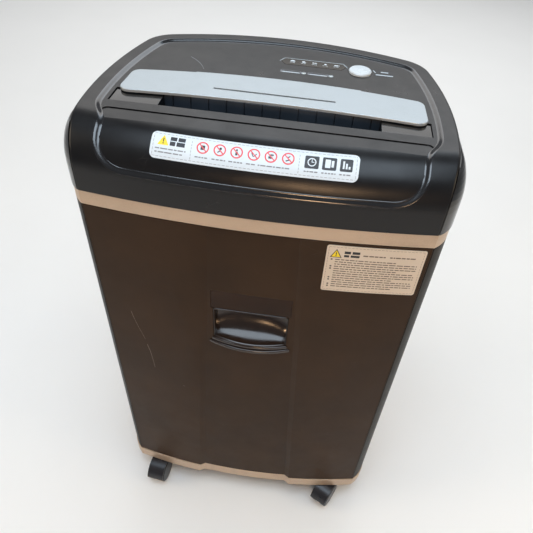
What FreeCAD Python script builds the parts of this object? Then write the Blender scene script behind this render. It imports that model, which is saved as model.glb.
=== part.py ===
import FreeCAD, Part
import math
import os
import Sketcher
from FreeCAD import Placement, Rotation, Vector

# Deskside paper shredder on casters: cabinet, pull-out bin, shredding head.
# Millimetres, +Z up, front towards -Y, origin on the floor under the middle of the bounding box.

doc = FreeCAD.newDocument("paper_shredder")
sheet = doc.addObject("Spreadsheet::Sheet", "Dimensions")

DIMENSIONS = (
    # alias, value, meaning
    ("base_bottom", 45.0, "floor to underside of the base trim"),
    ("base_top", 64.5, "top of the base trim, where cabinet and bin front start"),
    ("band_bottom", 563.3, "top of the cabinet, where the trim band starts"),
    ("band_top", 580.0, "top of the trim band, where the head starts"),
    ("head_top", 646.0, "top of the raised rim"),
    ("front_half", 173.7, "half width at the front corners"),
    ("front_corner_y", -125.0, "front corners"),
    ("front_bow", 11.4, "how far the front face bows forward of its corners"),
    ("side_half", 181.6, "half width of the head where its bowed sides are widest"),
    ("side_wide_y", -45.0, "where the head is widest"),
    ("rear_half", 164.0, "half width of the head near the rear corners"),
    ("rear_half_y", 85.0, "where that half width is measured"),
    ("casing_half", 190.2, "half width of the casing behind its rounded front corners"),
    ("casing_wide_y", -91.0, "where the casing reaches that half width"),
    ("casing_rear_half", 170.8, "half width of the casing near the rear corners"),
    ("base_bow", 18.0, "how far the front bows forward of its corners at the base"),
    ("back_y", 137.0, "back face on the centre line"),
    ("back_corner_half", 140.0, "half width of the back arc where it is measured"),
    ("back_corner_y", 112.0, "back arc at that half width"),
    ("rear_corner_round", 40.0, "radius of the rear corners"),
    ("wall", 3.0, "moulded wall thickness"),
    ("cabinet_step", 1.0, "cabinet and band stand in from the head and base by this"),
    ("head_round", 42.0, "radius of the head's front top edge"),
    ("rim_drop", 2.4, "depth of the recessed top below its rim"),
    ("rim_width", 15.5, "width of the rim in plan"),
    ("apron_half", 152.0, "half width of the recess where it turns over the front"),
    ("apron_bottom", 608.0, "lower edge of the recess on the front face"),
    ("apron_round", 29.0, "lower corner radius of the recess"),
    ("channel_top_half", 45.0, "half width of the front panel's channel at the band"),
    ("channel_bottom_half", 65.3, "half width of that channel at the base"),
    ("channel_facet", 9.0, "width of the channel's sloping sides"),
    ("channel_top_depth", 4.0, "depth of the channel at the band"),
    ("channel_bottom_depth", 5.4, "depth of the channel at the base"),
    ("panel_back_y", -113.0, "rear edge of the bin front's side returns"),
    ("throat_half", 108.0, "half width of the paper throat"),
    ("throat_front_y", -60.0, "front lip of the throat"),
    ("throat_back_y", -33.0, "rear edge of the cover's throat opening"),
    ("throat_opening_half", 157.0, "half width of the cover's opening with its end inserts"),
    ("rib_pitch", 18.0, "pitch of the ribbed throat wall"),
    ("plate_front_y", -42.0, "front corners of the bridge plate"),
    ("plate_rise", 3.0, "bridge plate above the recessed top"),
    ("disc_slot_y", -17.5, "disc slot line"),
    ("disc_slot_half", 62.0, "half width of the disc slot"),
    ("disc_slot_gap", 3.0, "width of the disc slot"),
    ("roller_z", 555.0, "height of both cutter axes"),
    ("front_roller_y", -74.0, "front cutter axis"),
    ("rear_roller_y", -30.0, "rear cutter axis"),
    ("cutter_radius", 26.0, "cutting disc without its hooks"),
    ("hook_radius", 28.0, "tips of the cutting hooks"),
    ("hub_radius", 15.5, "roller between the discs"),
    ("disc_width", 4.2, "thickness of a cutting disc"),
    ("disc_pitch", 9.0, "pitch of the discs on one roller"),
    ("disc_count", 25.0, "discs on each roller"),
    ("journal_radius", 9.0, "roller journals"),
    ("running_gap", 0.05, "radial clearance of a shaft in its bearing"),
    ("frame_x", 118.0, "inner face of the cutter side plates"),
    ("frame_plate", 4.0, "thickness of the cutter side plates"),
    ("bearing_radius", 17.5, "outside of the roller bearings"),
    ("tie_rod_radius", 5.0, "tie rods"),
    ("motor_y", 70.0, "motor axis"),
    ("motor_z", 568.0, "motor axis"),
    ("motor_radius", 33.0, "motor housing"),
    ("motor_length", 92.0, "motor housing"),
    ("axle_radius", 4.0, "fixed axles of the reduction gears"),
    ("bin_half", 150.0, "half width of the bin"),
    ("bin_front_y", -94.0, "front wall of the bin"),
    ("bin_rear_y", 95.0, "rear wall of the bin"),
    ("bin_bottom", 68.0, "underside of the bin"),
    ("bin_top", 495.0, "rim of the bin"),
    ("bin_wall", 2.5, "bin wall thickness"),
    ("bin_clearance", 0.3, "running gap under the bin"),
    ("pan_bottom", 505.0, "underside of the head's lower tub"),
    ("handle_half", 41.5, "half width of the finger opening"),
    ("handle_bottom", 394.0, "floor of the finger opening"),
    ("handle_top", 443.0, "top of the finger opening"),
    ("window_top", 472.5, "top of the bin window"),
    ("button_x", 85.7, "function button"),
    ("button_y", 68.0, "function button"),
    ("button_radius", 12.7, "function button"),
    ("button_rise", 3.2, "function button above the recessed top"),
    ("lens_x", 33.0, "middle of the indicator lens"),
    ("lens_half", 37.0, "half length of the indicator lens"),
    ("lens_half_width", 8.0, "half width of the indicator lens"),
    ("lens_y", 75.0, "middle of the indicator lens"),
    ("board_top", 630.0, "upper face of the control board"),
    ("caster_front_x", 141.3, "swivel axes of the front casters, from the middle"),
    ("caster_rear_x", 122.0, "swivel axes of the rear casters, from the middle"),
    ("caster_front_y", -115.8, "swivel axes of the front casters"),
    ("caster_rear_y", 103.207, "swivel axes of the rear casters"),
    ("caster_trail", 17.0, "wheel axle behind the swivel axis"),
    ("wheel_radius", 20.0, "caster wheels"),
    ("wheel_width", 10.0, "each of a caster's two wheels"),
    ("wheel_gap", 8.0, "space between a caster's two wheels"),
    ("stem_radius", 4.0, "caster stems"),
    ("frame_shift", 6.0, "moves the whole machine back, so that the origin is under its middle"),
)


def fill_sheet():
    """Write each dimension as text with its alias and meaning."""
    for row, (alias, value, meaning) in enumerate(DIMENSIONS, start=1):
        sheet.set(f"A{row}", alias)
        sheet.set(f"B{row}", str(value))
        sheet.set(f"C{row}", meaning)
        sheet.setAlias(f"B{row}", alias)
    doc.recompute()


fill_sheet()
ALIASES = sorted((alias for alias, _, _ in DIMENSIONS), key=len, reverse=True)
NODES = []


def dim(alias):
    """A dimension's value, read from the sheet."""
    return float(sheet.get(alias))


def formula(text):
    """Point each sheet name in a formula at the sheet."""
    words = []
    for word in text.split():
        bare = word.strip("()")
        words.append(word.replace(bare, f"Dimensions.{bare}") if bare in ALIASES else word)
    return " ".join(words)


def keep(item, label):
    """Name a finished sub-part, so that it is written out as a node."""
    item.Label = label
    NODES.append(item)
    return item


# ---------------------------------------------------------------- document helpers


def bind(item, **properties):
    """Bind an object's sizes to formulas over the sheet."""
    for name, text in properties.items():
        item.setExpression(name, formula(text))
    return item


def place(item, x="0", y="0", z="0"):
    """Bind an object's position to formulas over the sheet."""
    for axis, text in zip("xyz", (x, f"{y} + frame_shift", z)):
        item.setExpression(f"Placement.Base.{axis}", formula(text))
    return item


def box(name, length, width, height, x="0", y="0", z="0"):
    item = doc.addObject("Part::Box", name)
    bind(item, Length=length, Width=width, Height=height)
    return place(item, x, y, z)


def cylinder(name, radius, height, axis, x="0", y="0", z="0"):
    """A round bar that starts at a point and runs along an axis."""
    item = doc.addObject("Part::Cylinder", name)
    item.Placement.Rotation = Rotation(Vector(0, 0, 1), axis)
    bind(item, Radius=radius, Height=height)
    return place(item, x, y, z)


def fuse(name, shapes):
    item = doc.addObject("Part::MultiFuse", name)
    item.Shapes = shapes
    return item


def move_back(placement):
    """Shift a placement by the distance between the casing's datum and the origin."""
    return Placement(Vector(0, dim("frame_shift"), 0), Rotation()).multiply(placement)


def feature(label, shape):
    """A sub-part whose shape is worked out in code from the sheet."""
    item = doc.addObject("Part::Feature", label)
    item.Shape = shape
    item.Placement = move_back(item.Placement)
    return keep(item, label)


def new_body(name):
    return doc.addObject("PartDesign::Body", name)


def origin_plane(body, role):
    for item in body.Origin.OriginFeatures:
        if item.Role == role:
            return item
    raise ValueError(role)


def new_sketch(body, role, name):
    sketch = body.newObject("Sketcher::SketchObject", name)
    sketch.AttachmentSupport = (origin_plane(body, role), [""])
    sketch.MapMode = "FlatFace"
    return sketch


def draw_rectangle(sketch, width, height):
    """A rectangle centred on the sketch, its two sizes bound to the sheet."""
    corners = [Vector(-5, -5, 0), Vector(5, -5, 0), Vector(5, 5, 0), Vector(-5, 5, 0)]
    for i in range(4):
        sketch.addGeometry(Part.LineSegment(corners[i], corners[(i + 1) % 4]), False)
    for i in range(4):
        sketch.addConstraint(Sketcher.Constraint("Coincident", i, 2, (i + 1) % 4, 1))
    for line, way in ((0, "Horizontal"), (2, "Horizontal"), (1, "Vertical"), (3, "Vertical")):
        sketch.addConstraint(Sketcher.Constraint(way, line))
    sketch.addConstraint(Sketcher.Constraint("Symmetric", 0, 1, 2, 1, -1, 1))
    wide = sketch.addConstraint(Sketcher.Constraint("DistanceX", 0, 1, 0, 2, 10.0))
    tall = sketch.addConstraint(Sketcher.Constraint("DistanceY", 1, 1, 1, 2, 10.0))
    sketch.setExpression(f"Constraints[{wide}]", formula(width))
    sketch.setExpression(f"Constraints[{tall}]", formula(height))


def draw_polygon(sketch, points):
    """A closed run of lines through the points."""
    first = sketch.GeometryCount
    count = len(points)
    for i in range(count):
        here = Vector(*points[i], 0)
        there = Vector(*points[(i + 1) % count], 0)
        sketch.addGeometry(Part.LineSegment(here, there), False)
    for i in range(count):
        joint = (first + i, 2, first + (i + 1) % count, 1)
        sketch.addConstraint(Sketcher.Constraint("Coincident", *joint))


def pad(body, sketch, length, midplane=False, reverse=False):
    item = body.newObject("PartDesign::Pad", body.Name + "_pad")
    item.Profile = sketch
    item.Midplane = midplane
    item.Reversed = reverse
    item.setExpression("Length", formula(length))
    sketch.Visibility = False
    return item


def revolved_body(label, points):
    """A turned piece: points are (radius, height) pairs, revolved about the body's Z axis."""
    body = new_body(label)
    sketch = new_sketch(body, "XZ_Plane", label + "_profile")
    draw_polygon(sketch, points)
    turn = body.newObject("PartDesign::Revolution", label + "_turn")
    turn.Profile = sketch
    turn.ReferenceAxis = (sketch, ["V_Axis"])
    turn.Angle = 360.0
    sketch.Visibility = False
    return body


def along_x(x, y, z, turn=0.0):
    """Placement that lays a piece's own Z axis along +X, turned about it by an angle."""
    lay = Rotation(Vector(1, 1, 1), 120)
    spin = Rotation(Vector(0, 0, 1), math.degrees(turn))
    return Placement(Vector(x, y, z), lay.multiply(spin))


def bar(radius, length, start, axis=Vector(1, 0, 0)):
    return Part.makeCylinder(radius, length, start, axis)


def slab(x, y, z):
    """A box from three (low, high) pairs."""
    size = (x[1] - x[0], y[1] - y[0], z[1] - z[0])
    return Part.makeBox(*size, Vector(x[0], y[0], z[0]))


def prism(points, way):
    """Extrude a closed polygon."""
    wire = Part.makePolygon([*points, points[0]])
    return Part.Face(wire).extrude(way)


# ---------------------------------------------------------------- plan outline

BACK_CENTRE = Vector(0, dim("back_y"), 0)


def upright_circle(shoulder, point):
    """The circle that runs straight back at a shoulder and passes through another point."""
    across = shoulder.x - point.x
    along = shoulder.y - point.y
    radius = (across**2 + along**2) / (2 * across)
    return Part.Circle(shoulder - Vector(radius, 0, 0), Vector(0, 0, 1), radius)


def arc_between(circle, start, end):
    """The edge of a circle that runs anticlockwise from one point to another."""
    first = circle.parameter(start)
    last = circle.parameter(end)
    if last < first:
        last += 2 * math.pi
    return circle.toShape(first, last)


def back_circle():
    corner = Vector(dim("back_corner_half"), dim("back_corner_y"), 0)
    return Part.Circle(corner, BACK_CENTRE, Vector(-corner.x, corner.y, 0))


def outline_face(inset=0.0, wide=False):
    """The plan, moved in by an inset: the head's own, or the wider casing's with round front corners."""
    crease = Vector(dim("front_half"), dim("front_corner_y"), 0)
    back = back_circle()
    if wide:
        shoulder = Vector(dim("casing_half"), dim("casing_wide_y"), 0)
        side = upright_circle(shoulder, Vector(dim("casing_rear_half"), dim("rear_half_y"), 0))
        edges = [arc_between(upright_circle(shoulder, crease), crease, shoulder)]
    else:
        shoulder = crease
        middle = Vector(dim("side_half"), dim("side_wide_y"), 0)
        side = Part.Circle(crease, middle, Vector(dim("rear_half"), dim("rear_half_y"), 0))
        edges = []
    meetings = [Vector(p.X, p.Y, 0) for p in side.intersect(back)]
    rear = max(meetings, key=lambda p: p.y)
    edges.append(arc_between(side, shoulder, rear))
    edges += [edge.mirror(Vector(), Vector(1, 0, 0)) for edge in edges]
    edges.append(Part.Arc(Vector(-rear.x, rear.y, 0), BACK_CENTRE, rear).toShape())
    front_mid = Vector(0, crease.y - dim("front_bow"), 0)
    edges.append(Part.Arc(Vector(-crease.x, crease.y, 0), front_mid, crease).toShape())
    face = Part.Face(Part.Wire(Part.__sortEdges__(edges)))
    if face.normalAt(0, 0).z < 0:
        face.reverse()
    if inset:
        face = face.makeOffset2D(-inset, 2)
    return face


def outline_solid(inset, low, high, wide=False):
    """A plan outline between two heights, with its rear corners rounded."""
    face = outline_face(inset, wide)
    face.translate(Vector(0, 0, low))
    solid = face.extrude(Vector(0, 0, high - low))
    upright = [e for e in solid.Edges if abs(e.tangentAt(e.FirstParameter).z) > 0.9]
    rear = [e for e in upright if e.CenterOfMass.y > 0]
    return solid.makeFillet(dim("rear_corner_round") - inset, rear)


FRONT_RADIUS = (dim("front_half") ** 2 + dim("front_bow") ** 2) / (2 * dim("front_bow"))
FRONT_FACE_Y = dim("front_corner_y") - dim("front_bow")


def bow_at(z):
    """How far the front bows forward of its corners: least at the band, most at the base."""
    low, high = dim("base_top"), dim("band_bottom")
    share = min(max((high - z) / (high - low), 0.0), 1.0)
    return dim("front_bow") + share * (dim("base_bow") - dim("front_bow"))


def front_y(x, inset, z):
    """The bowed front face at a distance from the centre line, moved in by an inset."""
    bow = bow_at(z)
    radius = (dim("front_half") ** 2 + bow**2) / (2 * bow)
    centre = dim("front_corner_y") - bow + radius
    return centre - math.sqrt((radius - inset) ** 2 - x**2)


def front_form(inset, half, low, high):
    """A block whose front face is the bowed front between two heights, moved in by an inset."""
    wires = []
    for z in (low, high):
        right = Vector(half, front_y(half, inset, z), z)
        middle = Vector(0, front_y(0, inset, z), z)
        left = Vector(-half, right.y, z)
        rear_right = Vector(half, -60.0, z)
        rear_left = Vector(-half, -60.0, z)
        edges = [
            Part.Arc(left, middle, right).toShape(),
            Part.LineSegment(right, rear_right).toShape(),
            Part.LineSegment(rear_right, rear_left).toShape(),
            Part.LineSegment(rear_left, left).toShape(),
        ]
        wires.append(Part.Wire(edges))
    return Part.makeLoft(wires, True, True)


def foot_form(inset, low, high):
    """The casing's plan at the base, where the front bows furthest forward."""
    half = dim("front_half") - inset / 2
    return outline_solid(inset, low, high, True).fuse(front_form(inset, half, low, high)).removeSplitter()


def channel(grow=0.0):
    """Cutter for the front panel's channel, which widens and deepens downwards."""
    wires = []
    far = -40.0
    for half, depth, z in (
        (dim("channel_bottom_half"), dim("channel_bottom_depth"), dim("base_bottom") - 1),
        (dim("channel_top_half"), dim("channel_top_depth"), dim("band_bottom")),
    ):
        half = half + grow
        floor = depth + grow
        slope = dim("channel_facet") / depth
        inner = Vector(half, front_y(half, floor, z), z)
        outer = Vector(half + slope * (floor - far), front_y(half, far, z), z)
        left = Vector(-inner.x, inner.y, z)
        far_left = Vector(-outer.x, outer.y, z)
        edges = [
            Part.LineSegment(far_left, left).toShape(),
            Part.Arc(left, Vector(0, front_y(0, floor, z), z), inner).toShape(),
            Part.LineSegment(inner, outer).toShape(),
            Part.LineSegment(outer, far_left).toShape(),
        ]
        wires.append(Part.Wire(edges))
    return Part.makeLoft(wires, True, True)


# ---------------------------------------------------------------- casing


def head_form(inset, low):
    """The head's outer form: the plan outline under a rolled front edge, moved in by an inset."""
    top = dim("head_top") - inset
    roll = dim("head_round") - inset
    face_y = FRONT_FACE_Y + inset
    knee = math.sqrt(0.5) * roll
    profile = Part.Wire(
        [
            Part.LineSegment(Vector(0, 200, low), Vector(0, face_y, low)).toShape(),
            Part.LineSegment(Vector(0, face_y, low), Vector(0, face_y, top - roll)).toShape(),
            Part.Arc(
                Vector(0, face_y, top - roll),
                Vector(0, face_y + roll - knee, top - roll + knee),
                Vector(0, face_y + roll, top),
            ).toShape(),
            Part.LineSegment(Vector(0, face_y + roll, top), Vector(0, 200, top)).toShape(),
            Part.LineSegment(Vector(0, 200, top), Vector(0, 200, low)).toShape(),
        ]
    )
    axis = Vector(0, FRONT_FACE_Y + FRONT_RADIUS, 0)
    half_turn = 14.0
    swept = Part.Face(profile)
    swept.rotate(axis, Vector(0, 0, 1), -half_turn)
    swept = swept.revolve(axis, Vector(0, 0, 1), 2 * half_turn)
    return outline_solid(inset, low, top + 1).common(swept)


def recess_cutter():
    """Space above the recessed top, which also turns over the rolled front edge as an apron."""
    low = dim("apron_bottom")
    top = dim("head_top") + 5
    half = dim("apron_half")
    round_ = dim("apron_round")
    wide = dim("side_half") - dim("rim_width")
    front = -150.0
    bend_start = -106.0
    bend_end = -62.0
    plan = outline_solid(dim("rim_width"), low - 5, top)
    plan = plan.cut(slab((-200, 200), (front, bend_end), (low - 10, top + 5)))
    half_at_bend = plan.common(slab((0, 200), (bend_end, bend_end + 0.5), (low, low + 1))).BoundBox.XMax
    corner = []
    for side in (1, -1):
        start = Vector(side * half, bend_start, low - 5)
        end = Vector(side * half_at_bend, bend_end, low - 5)
        bend = Part.BezierCurve()
        pull = 20.0
        bend.setPoles([start, start + Vector(0, pull, 0), end - Vector(side * 1.0, pull, 0), end])
        corner.append((start, bend, end))
    (right, right_bend, right_end), (left, left_bend, left_end) = corner
    front_right = Vector(half, front, low - 5)
    front_left = Vector(-half, front, low - 5)
    edges = [
        Part.LineSegment(front_left, front_right).toShape(),
        Part.LineSegment(front_right, right).toShape(),
        right_bend.toShape(),
        Part.LineSegment(right_end, left_end).toShape(),
        left_bend.toShape(),
        Part.LineSegment(left, front_left).toShape(),
    ]
    fore = Part.Face(Part.Wire(Part.__sortEdges__(edges))).extrude(Vector(0, 0, top - low + 5))
    shield = slab((-wide - 9, wide + 9), (front, 200), (low, top))
    shield = shield.common(fore.fuse(plan).removeSplitter())
    corners = []
    for side in (1, -1):
        block = slab(sorted((side * half, side * (half - round_))), (front, bend_end), (low - 1, low + round_))
        tool = bar(round_, 200, Vector(side * (half - round_), front - 5, low + round_), Vector(0, 1, 0))
        corners.append(block.cut(tool))
    for item in corners:
        shield = shield.cut(item)
    return shield.cut(head_form(dim("rim_drop"), low - 20))


def head_top_cover():
    """The head's upper shell, with the recess, the throat and the control openings."""
    wall = dim("wall")
    top = dim("head_top") - dim("rim_drop")
    shell = head_form(0, dim("band_top")).cut(recess_cutter())
    shell = shell.makeFillet(3.0, [e for e in shell.Edges if is_outer_rim(e)])
    shell = shell.cut(head_form(dim("rim_drop") + wall, dim("band_top") - 5))
    up = Vector(0, 0, 1)
    throat_x = (-dim("throat_opening_half"), dim("throat_opening_half"))
    tools = [
        slab(throat_x, (dim("throat_front_y"), dim("throat_back_y")), (600, 700)),
        disc_slot_cutter(1.0),
        bar(dim("button_radius") + 0.4, 60, Vector(dim("button_x"), dim("button_y"), 600), up),
        lens_prism(0.0, top - 1.6, top + 5),
        lens_prism(-2.5, 600, top),
        switch_cutter(),
        inlet_cutter(),
        strip_groove(),
    ]
    tools += [bar(1.6, 60, Vector(x, y, 600), up) for x, y in LEGEND_LAMPS]
    for tool in tools:
        shell = shell.cut(tool)
    feature("head_top_cover", shell)


def is_outer_rim(edge):
    """Whether an edge belongs to the head's outer top edge, behind the rolled front."""
    middle = edge.valueAt((edge.FirstParameter + edge.LastParameter) / 2)
    level = edge.BoundBox.ZMin > dim("head_top") - 0.01
    centre_of_rim = outline_face(dim("rim_width") / 2)
    return level and not centre_of_rim.isInside(Vector(middle.x, middle.y, 0), 0.01, True)


def head_side_panels():
    """Two glossy panels on the sides of the head, from the roll's crease to the rear corners."""
    head = outline_solid(0, dim("band_top") - 1, dim("head_top"))
    full_to = 612.0
    top = 640.0
    fade = 8.4
    steps = 8
    levels = [(dim("band_top"), 0.0), (596.0, 0.0), (604.0, 0.0)]
    for i in range(steps + 1):
        angle = math.pi / 2 * i / steps
        levels.append((full_to + (top - full_to) * math.sin(angle), fade * (1 - math.cos(angle))))
    solid = Part.makeLoft([side_panel_section(z, drawn_in) for z, drawn_in in levels], True, True)
    right = solid.cut(head)
    right = max(right.Solids, key=lambda piece: piece.Volume)
    feature("head_side_panel_right", right)
    feature("head_side_panel_left", right.mirror(Vector(), Vector(1, 0, 0)))


def side_panel_section(z, drawn_in):
    """Plan of the right-hand glossy panel at a height, with its outer face drawn in."""
    roll = dim("head_round")
    rise = z - (dim("head_top") - roll)
    back_off = roll - math.sqrt(roll**2 - rise**2) if rise > 0 else 0.0
    crease = Vector(dim("front_half"), dim("front_corner_y"), 0)
    middle = Vector(dim("side_half"), dim("side_wide_y"), 0)
    side = Part.Circle(crease, middle, Vector(dim("rear_half"), dim("rear_half_y"), 0))
    start_y = crease.y + back_off
    start_x = side.Center.x + math.sqrt(side.Radius**2 - (start_y - side.Center.y) ** 2)
    start = Vector(start_x - 0.2, start_y, 0)
    shoulder = Vector(dim("casing_half") - drawn_in, dim("casing_wide_y") + back_off, 0)
    outer = upright_circle(Vector(dim("casing_half"), dim("casing_wide_y"), 0),
                           Vector(dim("casing_rear_half"), dim("rear_half_y"), 0))
    rear_y = 100.0
    reach = rear_y - shoulder.y
    rear = Vector(shoulder.x - outer.Radius + math.sqrt(outer.Radius**2 - reach**2), rear_y, 0)
    bend = Part.Circle(shoulder - Vector(outer.Radius, 0, 0), Vector(0, 0, 1), outer.Radius)
    inner = 150.0
    edges = [
        arc_between(upright_circle(shoulder, start), start, shoulder),
        arc_between(bend, shoulder, rear),
        Part.LineSegment(rear, Vector(inner, rear_y, 0)).toShape(),
        Part.LineSegment(Vector(inner, rear_y, 0), Vector(inner, start_y, 0)).toShape(),
        Part.LineSegment(Vector(inner, start_y, 0), start).toShape(),
    ]
    wire = Part.Wire(edges)
    wire.translate(Vector(0, 0, z))
    return wire


def strip_groove():
    """The shallow strip with rounded ends that runs across the top in front of the throat."""
    top = dim("head_top") - dim("rim_drop")
    half_width = 9.7
    middle = -83.3
    corner = 6.0
    ends = 156.0
    groove = slab((-ends, ends), (middle - half_width, middle + half_width), (top - 0.9, top + 5))
    groove = groove.makeFillet(corner, [e for e in groove.Edges if abs(e.tangentAt(0).z) > 0.9])
    slit_y = middle + half_width
    slit = slab((corner - ends, ends - corner), (slit_y - 1.0, slit_y), (top - 2.0, top))
    return groove.fuse(slit).removeSplitter()


def disc_slot_cutter(grow=0.0):
    gap = dim("disc_slot_gap") / 2 + grow / 2
    half = dim("disc_slot_half") + grow
    line = dim("disc_slot_y")
    return slab((-half, half), (line - gap, line + gap), (600, 700))


def lens_prism(grow, low, high):
    """The indicator lens: a long hexagon."""
    half = dim("lens_half") + grow
    width = dim("lens_half_width") + grow
    centre = Vector(dim("lens_x"), dim("lens_y"), low)
    point = 5.0
    ring = [(-half, 0), (-half + point, -width), (half - point, -width)]
    ring += [(-x, -y) for x, y in ring]
    return prism([centre + Vector(x, y, 0) for x, y in ring], Vector(0, 0, high - low))


LEGEND_LAMPS = ((24.0, 48.5), (54.0, 48.7))
SWITCH_Z = 608.0
INLET_X = -62.0


def switch_cutter():
    """Opening for the mains rocker switch in the back of the head."""
    return slab((-10.0, 10.0), (115, 160), (SWITCH_Z - 13, SWITCH_Z + 13))


def back_placement(x, z):
    """A point on the bowed back, its local Z axis pointing out of the machine."""
    back = back_circle()
    lean = math.asin(x / back.Radius)
    point = back.Center + Vector(math.sin(lean), math.cos(lean), 0).multiply(back.Radius)
    outward = Vector(math.sin(lean), math.cos(lean), 0)
    return Placement(Vector(point.x, point.y, z), Rotation(Vector(0, 0, 1), outward))


def inlet_cutter():
    """Round hole for the mains lead's gland."""
    tool = bar(8.0, 30, Vector(0, 0, -20), Vector(0, 0, 1))
    tool.Placement = back_placement(INLET_X, SWITCH_Z).multiply(tool.Placement)
    return tool


def trim_band():
    """The band between cabinet and head, capped outside the head, with a ledge for the tub."""
    low, high = dim("band_bottom"), dim("band_top")
    step, wall = dim("cabinet_step"), dim("wall")
    ring = outline_solid(step, low, high, True).cut(outline_solid(step + wall, low - 1, high + 1, True))
    cap = outline_solid(step, high - 2, high, True).cut(outline_solid(4.6, high - 3, high + 1))
    ledge = outline_solid(step + wall, high - 8, high - 5, True).cut(outline_solid(7.5, high - 9, high))
    feature("trim_band", ring.multiFuse([cap, ledge]).removeSplitter())


def head_bottom_pan():
    """The tub that hangs in the cabinet's top and carries the machinery."""
    high = dim("band_top")
    low = dim("pan_bottom")
    wall = dim("wall")
    side_gap = 8.0
    flange = outline_solid(5.0, high - 5, high - 2)
    tub = outline_solid(side_gap, low, high - 2)
    room = outline_solid(side_gap + wall, low + wall, high)
    front = -112.0
    tub = tub.cut(slab((-200, 200), (-200, front), (low - 1, high)))
    room = room.cut(slab((-200, 200), (-200, front + wall), (low - 1, high)))
    flange = flange.cut(slab((-200, 200), (-200, front), (high - 6, high)))
    pan = tub.fuse(flange).cut(room)
    shred_exit = slab((-114, 114), (-102, -4), (low - 1, low + wall + 1))
    feature("head_bottom_pan", pan.cut(shred_exit).removeSplitter())


def cabinet_shell():
    """Sides, back and rounded front corners in one shell, open at the front, the top and the base."""
    low, high = dim("base_top"), dim("band_bottom")
    step, wall = dim("cabinet_step"), dim("wall")
    shell = outline_solid(step, low, high, True).cut(outline_solid(step + wall, low - 1, high + 1, True))
    doorway = dim("front_half") - 0.5
    shell = shell.cut(slab((-doorway, doorway), (-200, dim("panel_back_y") + 0.5), (low - 1, high + 1)))
    feature("cabinet_shell", shell)


def base_trim():
    """The trim round the foot, which follows the front panel's channel."""
    low, high = dim("base_bottom"), dim("base_top")
    ring = foot_form(0, low, high).cut(channel())
    room = foot_form(4.0, low - 1, high + 1).cut(channel(4.0))
    feature("base_trim", ring.cut(room))


CASTERS = (
    # name, side, end, swivel angle of the trailing wheel
    ("front_left", -1, "front", 263.0),
    ("front_right", 1, "front", 242.0),
    ("rear_left", -1, "rear", 110.0),
    ("rear_right", 1, "rear", 70.0),
)


def caster_axis(side, end):
    return Vector(side * dim(f"caster_{end}_x"), dim(f"caster_{end}_y"), 0)


def base_tray():
    """The floor plate with the bin's two runners and a socket for each caster stem."""
    low = dim("base_bottom") + 2
    top = low + 4
    trough = channel(4.0)
    tray = foot_form(4.0, low, top).cut(trough)
    pieces = []
    for side in (-1, 1):
        runner = (side * 100 - 5, side * 100 + 5)
        pieces.append(slab(runner, (-105, 92), (top, dim("bin_bottom") - dim("bin_clearance"))))
    for _, side, end, _ in CASTERS:
        start = caster_axis(side, end) + Vector(0, 0, low)
        pieces.append(bar(9.0, 16.0, start, Vector(0, 0, 1)))
    tray = tray.multiFuse(pieces).removeSplitter()
    inside = foot_form(4.0, low - 1, dim("base_top")).fuse(outline_solid(4.2, dim("base_top"), 90, True))
    tray = tray.common(inside)
    for _, side, end, _ in CASTERS:
        start = caster_axis(side, end) + Vector(0, 0, low - 1)
        tray = tray.cut(bar(dim("stem_radius") + dim("running_gap"), 16.0, start, Vector(0, 0, 1)))
    feature("base_tray", tray)


# ---------------------------------------------------------------- bin


WINDOW_MARGIN = 3.5
CUP_BORDER = 1.2
PANEL_GAP = 0.8
PANEL_HALF = dim("front_half") - 0.9


def panel_block(depth):
    """The drawer front as a solid block, its front, sides, top and bottom moved in by a depth."""
    low = dim("base_top") + PANEL_GAP + depth
    high = dim("band_bottom") - PANEL_GAP - depth
    return front_form(dim("cabinet_step") + depth, PANEL_HALF - depth, low, high)


def bin_front_panel():
    """The drawer front: a bowed pan with a widening channel, the window and the grip opening."""
    wall = dim("wall")
    back = dim("panel_back_y")
    behind = slab((-200, 200), (back, 200), (0, 700))
    outer = panel_block(0).cut(channel()).cut(behind)
    room = panel_block(wall).cut(channel(wall))
    panel = outer.cut(room)
    sill = dim("handle_top") + 1.4
    side = WINDOW_MARGIN + 0.4
    window = slab((-dim("handle_half") - side, dim("handle_half") + side), (-160, -118), (sill, dim("window_top")))
    side = CUP_BORDER + 0.3
    grip_z = (dim("handle_bottom") - 10, sill)
    grip = slab((-dim("handle_half") - side, dim("handle_half") + side), (-160, -118), grip_z)
    feature("bin_front_panel", panel.cut(window.fuse(grip)))


def bin_body():
    """The open bin, with bosses that reach forward to its front panel."""
    wall = dim("bin_wall")
    half = dim("bin_half")
    y = (dim("bin_front_y"), dim("bin_rear_y"))
    z = (dim("bin_bottom"), dim("bin_top"))
    outer = slab((-half, half), y, z)
    uprights = [e for e in outer.Edges if abs(e.tangentAt(0).z) > 0.9]
    outer = outer.makeFillet(12.0, uprights)
    room = slab((-half + wall, half - wall), (y[0] + wall, y[1] - wall), (z[0] + wall, z[1] + 1))
    uprights = [e for e in room.Edges if abs(e.tangentAt(0).z) > 0.9]
    room = room.makeFillet(9.5, uprights)
    shell = outer.cut(room)
    bosses = []
    radius = 7.0
    for side in (-1, 1):
        for height in (110.0, 470.0):
            start = Vector(side * 120.0, -150.0, height)
            bosses.append(bar(radius, y[0] + 1 - start.y, start, Vector(0, 1, 0)))
    trimmed = [boss.common(panel_block(dim("wall"))) for boss in bosses]
    shell = shell.multiFuse(trimmed)
    sight = slab((-38, 38), (y[0] - 1, y[0] + wall + 1), (dim("handle_top") + 6, dim("window_top") - 2))
    feature("bin_body", shell.cut(sight).removeSplitter())


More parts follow.
